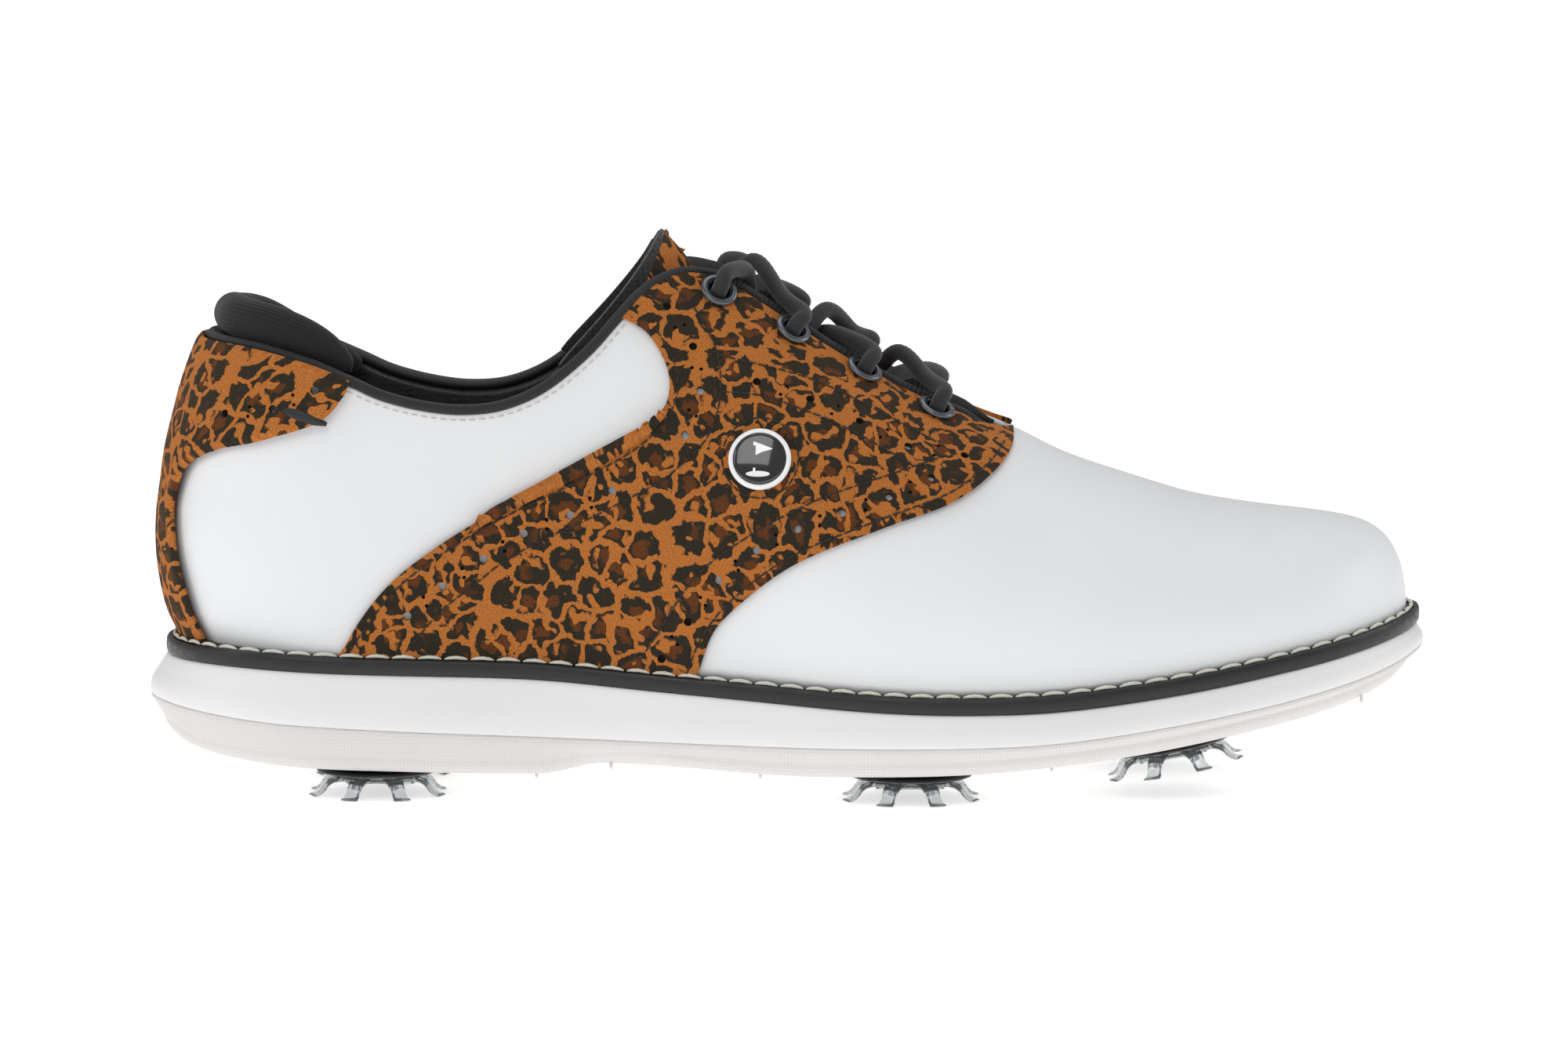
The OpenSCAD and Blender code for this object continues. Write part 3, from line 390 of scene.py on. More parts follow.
braided, tree = new_material("braided_polyester")
strands = add_node(tree, "ShaderNodeTexNoise", {
    "Vector": add_node(tree, "ShaderNodeTexCoord").outputs["Object"], "Scale": 3000.0,
    "Detail": 3.0, "Roughness": 0.7})
shade = add_node(tree, "ShaderNodeValToRGB", {"Fac": strands.outputs[0]})
shade.color_ramp.elements[0].position = 0.35
shade.color_ramp.elements[0].color = linear("#0E0F11")
shade.color_ramp.elements[1].position = 0.75
shade.color_ramp.elements[1].color = linear("#25262A")
finish_material(tree, add_node(tree, "ShaderNodeBsdfPrincipled", {
    "Base Color": shade.outputs[0], "Roughness": 0.75, "Sheen Weight": 0.25,
    "Sheen Roughness": 0.5,
    "Normal": add_node(tree, "ShaderNodeBump", {
        "Strength": 0.35, "Distance": 0.0001, "Height": strands.outputs[0]}).outputs[0]}))

lace = make_piece(
    "braided_lace",
    tube_mesh(lace_line, (0, 0, 1), lambda u: lace_d / 2 + 0 * u, lambda u: lace_d / 2 + 0 * u,
              20, braid),
    "root", braided, ["lace"], sharp=0)

# ---- Outsole ----
# One moulded plate of pale grey rubber, its side band textured with a fine square grid. Under
# the arch it is scooped out, and its tread carries low rubber lugs and six round seats for the
# cleats.
crease = [(-140, 20.8), (-127, 19.2), (-109, 17.4), (-75, 15.5), (-40, 14.2), (8, 13.6),
          (49, 14.4), (70, 16.3), (101, 21.1), (121, 25.2), (132, 28.2), (140, 31.2)]
tread = [(-138, 13), (-131, 10.4), (-121, 8.8), (-105, 7.2), (-85, 6.4), (-55, 5.8), (0, 6.5),
         (30, 7), (49, 8.2), (68, 10.2), (82, 12.2), (103, 16), (116, 18.6), (130, 22.4),
         (138, 26)]
heel_end, toe_end, welt_ledge = -136.4, 139.1, 3.2
cleat_places = [(-89.5, -17, 0), (-89.5, 17, 0), (26.7, -27, 0), (26.7, 27, 0),
                (84.8, -21, 1), (84.8, 21, 1)]
toe_tilt, toe_cleat_lift, cleat_h, receptacle_r = -10.5, 5.6, 5.9, 9.5


def sole_point(u, grow):
    """x, y and middle of the sole's outline: u runs from the heel round the outer side to the
    toe and back by the inner side. grow is the distance added at heel, toe and sides."""
    side = np.where(u < 0.5, lateral, medial)
    part = np.where(u < 0.5, 2 * u, 2 - 2 * u)
    x0, x1 = heel_end - grow[0], toe_end + grow[1]
    x = x0 + (x1 - x0) * (1 - np.cos(np.pi * part)) / 2
    heel_u = np.clip(1 - (x - x0) / (heel_round + grow[0]), 0, 1)
    toe_u = np.clip((x - toe_start) / (x1 - toe_start), 0, 1)
    half = (half_of(x, side, 0) + welt_ledge + grow[2]) * rounding(heel_u) * rounding(toe_u)
    return x, side * half, read(middle, x)


def sole_surface(rows):
    """Place function for rows of (heel, toe and side growth, height of x, spread): spread 0
    gathers a row on the middle line, which closes the top and the bottom."""
    def place(u, v):
        at = v * (len(rows) - 1)
        low = np.minimum(at.astype(int), len(rows) - 2)
        points = np.zeros((len(u), 3))
        for k in range(len(rows)):
            weight = np.clip(1 - np.abs(at - k), 0, 1)
            use = weight > 0
            if not use.any():
                continue
            grow, height, spread = rows[k]
            x, y, mid = sole_point(u[use], grow)
            points[use] += weight[use, None] * np.stack([x, mid + y * spread, height(x)], -1)
        return points
    return place


def cleat_frame(k):
    """Where a cleat stands: its leg tips at z = 0 of this frame, in millimetres."""
    x, y, tilted = cleat_places[k]
    return (Matrix.Translation((x, float(read(middle, x)) + y, tilted * toe_cleat_lift))
            @ Matrix.Rotation(math.radians(tilted * toe_tilt), 4, "Y"))


def cut_out(made, cutters):
    """Takes the closed shapes of the cutters' bmesh out of a piece, for good."""
    mesh = bpy.data.meshes.new("cutters")
    cutters.to_mesh(mesh)
    cutters.free()
    tool = bpy.data.objects.new("cutters", mesh)
    scene.collection.objects.link(tool)
    step = made.modifiers.new("holes", "BOOLEAN")
    step.operation = "DIFFERENCE"
    step.solver = "MANIFOLD"
    step.object = tool
    bpy.context.view_layer.update()
    settled(made)
    bpy.data.objects.remove(tool)


def settled(made):
    """Applies the modifiers of a piece to its mesh."""
    graph = bpy.context.evaluated_depsgraph_get()
    mesh = bpy.data.meshes.new_from_object(made.evaluated_get(graph), depsgraph=graph)
    made.modifiers.clear()
    made.data = mesh


def scoop(x):
    """How deep the arch is scooped, from 0 to 1."""
    rise = np.clip((x + 54) / 14, 0, 1)
    fall = np.clip((6 - x) / 44, 0, 1)
    return (rise * rise * (3 - 2 * rise)) * (fall * fall * (3 - 2 * fall))


def tread_z(lift):
    return lambda x: read(tread, x) + 2.0 * scoop(x) + lift


band_rows = [((3.2, 0.5, 1.4), lambda x: read(crease, x) + 0.05, 0.0),
             ((3.2, 0.5, 1.4), lambda x: read(crease, x) + 0.05, 1.0),
             ((3.45, 0.75, 1.65), lambda x: read(crease, x) - 0.25, 1.0),
             ((3.4, 0.7, 1.6), lambda x: read(crease, x) - 0.8, 1.0)]
for part in np.linspace(0.12, 1, 8):
    band_rows.append((
        (3.4 - 2.6 * part**1.4, 0.7 - 2.4 * part**1.4, 1.6 - 2.4 * part**1.4),
        lambda x, part=part: read(crease, x) * (1 - part) + part * (tread_z(3.4)(x)), 1.0))
for part in np.linspace(0.2, 1, 5):
    turn = part * math.pi / 2
    band_rows.append((
        (0.8 - 6 * (1 - math.cos(turn)), -1.7 - 6 * (1 - math.cos(turn)),
         -0.8 - 5 * (1 - math.cos(turn))),
        lambda x, turn=turn: tread_z(3.4 * (1 - math.sin(turn)))(x), 1.0))
for spread in (0.8, 0.6, 0.4, 0.2, 0.0):
    band_rows.append(((-5.2, -7.7, -5.8), tread_z(0), spread))


def outsole_place(u, v):
    points = sole_surface(band_rows)(u, v)
    # Under the arch the band's lower part leans inwards, below a line that falls forwards
    edge = np.interp(points[:, 0], [-60, -53, -38, -17, -5, 6], [13.6, 12.8, 11.8, 9.5, 7.8, 7])
    under = np.clip(edge - points[:, 2], 0, 5) * scoop(points[:, 0])
    mid = read(middle, points[:, 0])
    side = np.sign(points[:, 1] - mid)
    half = np.abs(points[:, 1] - mid)
    points[:, 1] = mid + side * np.maximum(half - 0.75 * under, half * 0.4)
    return points


bm = grid_mesh(300, (len(band_rows) - 1) * 2, outsole_place, weld=True)
bmesh.ops.recalc_face_normals(bm, faces=bm.faces)

# The low lugs of the tread stand in rows, clear of the cleats' discs
for ix in range(27):
    for iy in range(7):
        x = -118 + ix * 9.4
        y = (iy - 3) * 11.5 + (ix % 2) * 5.7
        reach = float(np.interp(x, *map(np.array, zip(*[
            (float(a[0]), abs(float(b[0]))) for a, b, _ in
            (sole_point(np.array([t]), (-16, -18, -13)) for t in np.linspace(0.02, 0.48, 24))]))))
        if abs(y) > reach or -58 < x < -2:
            continue
        near = min(math.hypot(x - c[0], y - c[1]) for c in cleat_places)
        if near < 19:
            continue
        base = float(tread_z(0)(np.array([x]))[0])
        place = (Matrix.Scale(0.001, 4) @ Matrix.Translation((x, float(read(middle, x)) + y, base - 0.3))
                 @ Matrix.Rotation(math.radians(30 + 60 * (ix % 2)), 4, "Z"))
        bmesh.ops.create_cone(bm, cap_ends=True, segments=6, radius1=1.5, radius2=2.6, depth=1.6,
                              matrix=place)
# Small pips are left along the edge where the mould was vented
for x in (-54.6, -38.4, -6.0, 56.9, 125.0):
    for side in (lateral, medial):
        reach = float(half_of(np.array(x), side, 0)) - 2.0
        if x > 100:
            reach *= float(rounding((x - toe_start) / (toe_end - toe_start)))
        base = float(tread_z(0)(np.array([x]))[0])
        bmesh.ops.create_uvsphere(bm, u_segments=8, v_segments=6, radius=1, matrix=(
            Matrix.Scale(0.001, 4)
            @ Matrix.Translation((x, float(read(middle, x)) + side * reach, base + 0.1))
            @ Matrix.Diagonal((0.4, 0.4, 1.0, 1))))

# Moulded rubber: matt, faintly warm grey, with the mould's square grid of 0.7 mm pitch; painted shade
# darkens the grid's grooves.
rubber, tree = new_material("moulded_grey_rubber")
coords = add_node(tree, "ShaderNodeTexCoord")
place = add_node(tree, "ShaderNodeSeparateXYZ", {0: coords.outputs["Object"]})
grid_pitch = 0.75e-3
lines = []
for axis in ("X", "Z"):
    turn = add_node(tree, "ShaderNodeMath", {0: place.outputs[axis], 1: 2 * math.pi / grid_pitch},
                    operation="MULTIPLY")
    wave = add_node(tree, "ShaderNodeMath", {0: turn.outputs[0]}, operation="COSINE")
    lines.append(add_node(tree, "ShaderNodeMapRange", {
        0: wave.outputs[0], 1: 0.55, 2: 0.95, 3: 0.0, 4: 1.0}).outputs[0])
mesh_lines = add_node(tree, "ShaderNodeMath", {0: lines[0], 1: lines[1]}, operation="MAXIMUM")
cloud = add_node(tree, "ShaderNodeTexNoise", {"Vector": coords.outputs["Object"],
                                              "Scale": 60.0, "Detail": 4.0})
pale = add_node(tree, "ShaderNodeMix", {
    "Factor": cloud.outputs[0], "A": linear("#D6D3D1"), "B": linear("#DEDCDA")}, data_type="RGBA")
# Painted shade: the colour is darkened along the grid's grooves.
grid_groove_shade = add_node(tree, "ShaderNodeMix", {
    "Factor": add_node(tree, "ShaderNodeMath", {0: mesh_lines.outputs[0], 1: 0.45},
                       operation="MULTIPLY").outputs[0],
    "A": pale.outputs["Result"], "B": linear("#C9C6C4")}, data_type="RGBA")
finish_material(tree, add_node(tree, "ShaderNodeBsdfPrincipled", {
    "Base Color": grid_groove_shade.outputs["Result"], "Roughness": 0.62, "Specular IOR Level": 0.4,
    "Normal": add_node(tree, "ShaderNodeBump", {
        "Strength": 0.25, "Distance": 0.0001, "Height": mesh_lines.outputs[0]},
        invert=True).outputs[0]}))

outsole = make_piece("tread_plate", bm, "root", rubber, ["outsole"])
seats = bmesh.new()
for k in range(6):
    bmesh.ops.create_cone(seats, cap_ends=True, segments=48, radius1=receptacle_r + 0.1,
                          radius2=receptacle_r + 0.1, depth=9, matrix=(
                              Matrix.Scale(0.001, 4) @ cleat_frame(k)
                              @ Matrix.Translation((0, 0, cleat_h + 6.2 - 4.5))))
cut_out(outsole, seats)

# ---- Midsole ----
# Moulded white foam between the outsole and the welt. It swells out just above the crease and
# draws in under the welt; at the heel it flares into a rounded shelf.


def between(part):
    return lambda x: read(crease, x) + part * (read(welt_under, x) - read(crease, x))


foam_rows = [((2.8, 0.3, 1.2), between(0), 0.0), ((2.8, 0.3, 1.2), between(0), 1.0),
             ((3.5, 0.85, 1.75), between(0.025), 1.0)]
for part in np.linspace(0.07, 0.95, 12):
    pull = part**1.6
    swell = 0.35 * math.sin(math.pi * min(1, part * 1.6)) if part < 0.625 else 0.0
    foam_rows.append((
        (3.6 - 4.0 * pull + swell, 0.9 - 1.8 * pull + swell * 0.5, 1.8 - 2.3 * pull + swell * 0.6),
        between(part), 1.0))
foam_rows += [((-0.7, -1.1, -0.7), between(0.997), 1.0), ((-0.7, -1.1, -0.7), between(0.997), 0.0)]
bm = grid_mesh(300, (len(foam_rows) - 1) * 2, sole_surface(foam_rows), weld=True)
bmesh.ops.recalc_face_normals(bm, faces=bm.faces)

# Compression moulded foam: smooth, soft white skin with a barely seen orange peel.
foam, tree = new_material("moulded_white_foam")
coords = add_node(tree, "ShaderNodeTexCoord")
peel = add_node(tree, "ShaderNodeTexNoise", {"Vector": coords.outputs["Object"], "Scale": 900.0,
                                             "Detail": 3.0})
cloud = add_node(tree, "ShaderNodeTexNoise", {"Vector": coords.outputs["Object"], "Scale": 25.0,
                                              "Detail": 3.0})
tone = add_node(tree, "ShaderNodeMix", {"Factor": cloud.outputs[0], "A": linear("#E6E5E5"),
                                        "B": linear("#ECEBEC")}, data_type="RGBA")
finish_material(tree, add_node(tree, "ShaderNodeBsdfPrincipled", {
    "Base Color": tone.outputs["Result"], "Roughness": 0.5, "Specular IOR Level": 0.4,
    "Subsurface Weight": 0.08, "Subsurface Radius": (0.003, 0.003, 0.003),
    "Subsurface Scale": 0.4,
    "Normal": add_node(tree, "ShaderNodeBump", {
        "Strength": 0.08, "Distance": 0.0001, "Height": peel.outputs[0]}).outputs[0]}))
make_piece("foam_midsole", bm, "root", foam, ["midsole"])

# ---- Welt and its stitching ----
# A strip of black rubber that runs round the shoe under the edge of the upper, with a shallow
# channel on top in which cream waxed thread is sewn in stitches of about 5.7 mm.


def over_welt(lift):
    return lambda x: read(welt_under, x) + lift


welt_rows = [((-12, -10.5, -10), over_welt(0.02), 1.0), ((-0.9, -0.9, -0.9), over_welt(0.0), 1.0),
             ((-0.3, -0.3, -0.3), over_welt(0.15), 1.0), ((0, 0, 0), over_welt(0.6), 1.0),
             ((0.1, 0.1, 0.1), over_welt(1.7), 1.0), ((0, 0, 0), over_welt(2.9), 1.0),
             ((-0.25, -0.25, -0.25), over_welt(3.4), 1.0), ((-0.7, -0.7, -0.7), over_welt(3.6), 1.0),
             ((-1.1, -1.1, -1.1), over_welt(3.4), 1.0), ((-2.4, -2.3, -2.3), over_welt(3.35), 1.0),
             ((-2.9, -2.8, -2.8), over_welt(3.6), 1.0), ((-12, -10.5, -10), over_welt(3.58), 1.0),
             ((-12, -10.5, -10), over_welt(0.02), 1.0)]
bm = grid_mesh(320, (len(welt_rows) - 1) * 2, sole_surface(welt_rows), weld=True)
bmesh.ops.recalc_face_normals(bm, faces=bm.faces)

# Extruded rubber with a satin skin: a soft highlight along its edge, faint scuffs lengthways.
welt_rubber, tree = new_material("extruded_black_rubber")
coords = add_node(tree, "ShaderNodeTexCoord")
scuffs = add_node(tree, "ShaderNodeTexNoise", {
    "Vector": add_node(tree, "ShaderNodeMapping", {
        0: coords.outputs["Object"], "Scale": (120.0, 400.0, 1600.0)}).outputs[0],
    "Scale": 1.0, "Detail": 5.0})
ramp = add_node(tree, "ShaderNodeMapRange", {0: scuffs.outputs[0], 1: 0.35, 2: 0.75, 3: 0.38,
                                             4: 0.58})
finish_material(tree, add_node(tree, "ShaderNodeBsdfPrincipled", {
    "Base Color": linear("#17181A"), "Roughness": ramp.outputs[0],
    "Normal": add_node(tree, "ShaderNodeBump", {
        "Strength": 0.15, "Distance": 0.0001, "Height": scuffs.outputs[0]}).outputs[0]}))
make_piece("rubber_welt", bm, "root", welt_rubber, ["welt"])


def sew(bm, line, ups, cover, radius, bulge):
    """Stitches from point to point of a line: each a bent grain of thread of 24 faces."""
    for a, b, up in zip(line[:-1], line[1:], ups):
        way = (b - a) / np.linalg.norm(b - a)
        side = np.cross(up, way)
        side /= np.linalg.norm(side)
        top = np.cross(way, side)
        centre, half = (a + b) / 2, np.linalg.norm(b - a) / 2 * cover
        grain = bmesh.ops.create_uvsphere(bm, u_segments=6, v_segments=6, radius=1)
        for v in grain["verts"]:
            s = math.copysign(abs(v.co.z) ** 0.75, v.co.z)
            v.co = (centre + way * half * s + side * radius * v.co.x
                    + top * (radius * v.co.y + bulge * (1 - s * s))) * 0.001


# Waxed cotton: slightly shiny cream thread, its plies just seen.
waxed, tree = new_material("waxed_cream_thread")
coords = add_node(tree, "ShaderNodeTexCoord")
plies = add_node(tree, "ShaderNodeTexNoise", {"Vector": coords.outputs["Object"],
                                              "Scale": 2500.0, "Detail": 2.0})
tone = add_node(tree, "ShaderNodeMix", {"Factor": plies.outputs[0], "A": linear("#B9B6A6"),
                                        "B": linear("#EFEDE2")}, data_type="RGBA")
finish_material(tree, add_node(tree, "ShaderNodeBsdfPrincipled", {
    "Base Color": tone.outputs["Result"], "Roughness": 0.55,
    "Normal": add_node(tree, "ShaderNodeBump", {
        "Strength": 0.5, "Distance": 0.0001, "Height": plies.outputs[0]}).outputs[0]}))
stitch_pitch = 5.7
ring_u = np.linspace(0, 1, 900)
sx, sy, smid = sole_point(ring_u, (-1.75, -1.65, -1.65))
ring = np.stack([sx, smid + sy, read(welt_under, sx) + welt_t + 0.08], -1)
ring_mm = float(np.sum(np.linalg.norm(np.diff(ring, axis=0), axis=1)))
stitch_count = round(ring_mm / stitch_pitch)
sums = np.concatenate([[0], np.cumsum(np.linalg.norm(np.diff(ring, axis=0), axis=1))])
at = np.linspace(0, sums[-1], stitch_count + 1)
stitch_line = np.stack([np.interp(at, sums, ring[:, k]) for k in range(3)], -1)
bm = bmesh.new()
sew(bm, stitch_line, [np.array([0, 0, 1.0])] * stitch_count, 0.94, 0.47, 0.42)
bmesh.ops.recalc_face_normals(bm, faces=bm.faces)
make_piece("welt_thread", bm, "root", waxed, ["welt_stitching"], sharp=0)

# ---- Vamp ----
# The white leather over the toes, pulled down over the last and under the saddle's front edge.
# It is one piece, cut from smooth full-grain leather 1.3 mm thick.
vamp_rear = [(0, -30), (0.13, -24), (0.235, -16), (0.34, -4), (0.49, 14), (0.64, 28), (0.77, 38),
             (0.94, 46.5), (1, 48.5)]


def toe_cap(rear, off):
    """Place function of a cap from a rear edge, given by part of the height, to the toe's tip."""
    def place(u, v):
        across = 2 * v - 1
        rise = np.sin(np.pi / 2 * (1 - np.abs(across))) ** 0.95
        x0 = read(rear, rise)
        x = x0 + (toe_tip - x0) * np.sin(np.pi / 2 * u)
        return last_point(x, 60 + 0 * x, rise, np.where(across < 0, lateral, medial), off)
    return place


# Coated full-grain leather: a close, soft grain of fine pores about 0.5 mm apart, a low even
# gloss, and a very faint mottling of the white.
leather, tree = new_material("white_full_grain_leather")
coords = add_node(tree, "ShaderNodeTexCoord")
pores = add_node(tree, "ShaderNodeTexVoronoi", {"Vector": coords.outputs["Object"],
                                                "Scale": 1700.0}, feature="F1")
folds = add_node(tree, "ShaderNodeTexNoise", {"Vector": coords.outputs["Object"],
                                              "Scale": 260.0, "Detail": 5.0, "Roughness": 0.6})
cloud = add_node(tree, "ShaderNodeTexNoise", {"Vector": coords.outputs["Object"], "Scale": 30.0,
                                              "Detail": 4.0})
tone = add_node(tree, "ShaderNodeMix", {"Factor": cloud.outputs[0], "A": linear("#E2E4E6"),
                                        "B": linear("#EAEBEC")}, data_type="RGBA")
grain = add_node(tree, "ShaderNodeMath", {0: pores.outputs["Distance"], 1: 0.5, 2: folds.outputs[0]},
                 operation="MULTIPLY_ADD")
finish_material(tree, add_node(tree, "ShaderNodeBsdfPrincipled", {
    "Base Color": tone.outputs["Result"], "Roughness": 0.44, "Specular IOR Level": 0.45,
    "Subsurface Weight": 0.05, "Subsurface Radius": (0.002, 0.002, 0.002),
    "Subsurface Scale": 0.4,
    "Normal": add_node(tree, "ShaderNodeBump", {
        "Strength": 0.16, "Distance": 0.00015, "Height": grain.outputs[0]}).outputs[0]}))
bm = grid_mesh(110, 120, toe_cap(vamp_rear, 0), weld=True)
bmesh.ops.recalc_face_normals(bm, faces=bm.faces)
make_piece("leather_vamp", bm, "root", leather, ["vamp"], sharp=0, wall=0.0013)

# ---- Quarters ----
# Two panels of the same leather round the heel, one on each side, closed by a seam at the back.
# Holes for the eyelets go through them.
collar_line = [(-126.45, 99.8), (-115, 98.8), (-104, 96), (-95, 92.3), (-88, 89.2), (-79, 86.9),
               (-70, 86), (-61, 87.1), (-52, 91.1), (-43, 98.3), (-36, 106), (-30.5, 111.6),
               (-24, 114.6), (-17.5, 114.1)]
facing_line = [at_rise(-13, 0.975), at_rise(-3, 0.979), at_rise(8, 0.981), at_rise(20, 0.983),
               at_rise(31, 0.984), at_rise(40, 0.99), at_rise(46, 0.999)]
edge_drop, suede_drop = 1.6, 0.3
panel_top = ([(x, z - edge_drop) for x, z in collar_line]
             + [(x - 0.4, z - 0.5) for x, z in facing_line])
heel_foot = float(read(heel_back, feather_z(-131)))


def feather_line(x0, x1):
    return [(x, float(feather_z(x))) for x in np.linspace(x0, x1, 7)]


def back_line(z0, z1):
    return [(float(read(heel_back, z)), z) for z in np.linspace(z0, z1, 7)]


def from_heel(points):
    """Outline points measured from the back of the heel."""
    return np.array([(x - float(read(heel_back, z)), z) for x, z in points])


def to_last(q):
    return np.stack([np.maximum(0, q[:, 0]) + read(heel_back, q[:, 1]), q[:, 1]], -1)


def patch(bottom, top, left, right):
    """Points [x, z] of a panel between its four edges."""
    b, t, l, r = (from_heel(edge) for edge in (bottom, top, left, right))

    def at(u, v):
        p, q = u[:, None], v[:, None]
        return to_last((1 - q) * along(b, u) + q * along(t, u) + (1 - p) * along(l, v)
                       + p * along(r, v) - (1 - p) * (1 - q) * b[0] - p * (1 - q) * b[-1]
                       - (1 - p) * q * t[0] - p * q * t[-1])
    return at


def flat_map(points_at, side, off):
    """The cut piece's own plane: lengthways place and distance up the side, in millimetres."""
    def flat(u, v):
        x = points_at(u, v)[:, 0]
        up = np.zeros(len(u))
        before = on_last(points_at(u, v * 0), side, off)
        for part in np.linspace(1 / 12, 1, 12):
            now = on_last(points_at(u, v * part), side, off)
            up += np.linalg.norm((now - before)[:, 1:], axis=1)
            before = now
        return np.stack([x, up + 40], -1)
    return flat


def surface_frame(point, side, off=0.0):
    """Frame that stands on the last at [x, z] with +Z outwards, in millimetres."""
    n = Vector(outward(point, side))
    base = Vector(on_last(point, side, off)[0])
    return Matrix.Translation(base) @ n.to_track_quat("Z", "Y").to_matrix().to_4x4()


def drill(bm, point, side, radius, low, high, segments=20):
    """A round cutter through the upper at [x, z]."""
    bmesh.ops.create_cone(bm, cap_ends=True, segments=segments, radius1=radius, radius2=radius,
                          depth=high - low, matrix=(
                              Matrix.Scale(0.001, 4) @ surface_frame(point, side)
                              @ Matrix.Translation((0, 0, (low + high) / 2))))


def eyelet_cutters(bm, side):
    for point in eyelet_places:
        drill(bm, point, side, 2.8, -9, 7, 32)


badge_place = (-6, 74.6)
quarter_seam = [at_rise(float(read(vamp_rear, r)) + 0.6, float(r))
                for r in np.sin(np.pi / 2 * np.linspace(0, 0.9, 10)) ** 0.95] + [panel_top[-1]]
for side, label in ((lateral, "lateral"), (medial, "medial")):
    quarter = patch(feather_line(heel_foot, quarter_seam[0][0]), panel_top,
                    back_line(float(feather_z(-131)), panel_top[0][1]), quarter_seam)
    bm = grid_mesh(130, 56, lambda u, v: on_last(quarter(u**1.9, v), side, 0))
    if side > 0:
        bmesh.ops.reverse_faces(bm, faces=bm.faces)
    made = make_piece("leather_quarter_" + label, bm, "root", leather,
                      ["quarter_" + label], sharp=0, wall=0.0013)
    settled(made)
    cutters = bmesh.new()
    eyelet_cutters(cutters, side)
    cut_out(made, cutters)

# ---- Lining ----
# Black spacer mesh, glued inside the quarters and turned under the binding, with the vamp's
# lining of the same cloth in front of it.
# Knitted spacer mesh: small round cells about 1.2 mm apart, soft and dull, with painted shade darkening
# each cell towards its hollow.
mesh_cloth, tree = new_material("black_spacer_mesh")
coords = add_node(tree, "ShaderNodeTexCoord")
cells = add_node(tree, "ShaderNodeTexVoronoi", {"Vector": coords.outputs["Object"],
                                                "Scale": 850.0, "Randomness": 0.35})
depth = add_node(tree, "ShaderNodeMapRange", {0: cells.outputs["Distance"], 1: 0.1, 2: 0.5,
                                              3: 0.0, 4: 1.0})
# Painted shade: the colour darkens into the hollow of each cell.
tone = add_node(tree, "ShaderNodeMix", {"Factor": depth.outputs[0], "A": linear("#0B0B0C"),
                                        "B": linear("#26272A")}, data_type="RGBA")
finish_material(tree, add_node(tree, "ShaderNodeBsdfPrincipled", {
    "Base Color": tone.outputs["Result"], "Roughness": 0.85, "Sheen Weight": 0.2,
    "Sheen Roughness": 0.5,
    "Normal": add_node(tree, "ShaderNodeBump", {
        "Strength": 0.6, "Distance": 0.0003, "Height": depth.outputs[0]}).outputs[0]}))
for side, label in ((lateral, "lateral"), (medial, "medial")):
    lining = patch(feather_line(heel_foot, -30.5), panel_top,
                   back_line(float(feather_z(-131)), panel_top[0][1]), quarter_seam)
    bm = grid_mesh(110, 40, lambda u, v: on_last(lining(u**1.9, v), side, lining_out))
    if side > 0:
        bmesh.ops.reverse_faces(bm, faces=bm.faces)
    made = make_piece("mesh_lining_" + label, bm, "root", mesh_cloth,
                      ["lining_" + label], sharp=0, wall=0.001)
    settled(made)
    cutters = bmesh.new()
    eyelet_cutters(cutters, side)
    cut_out(made, cutters)

# ---- Printed suede ----
# Split suede 1.1 mm thick, brushed to a short nap and printed with a leopard pattern: near-black
# rosettes with rust-brown hearts on burnt orange. The cut edges are left raw.


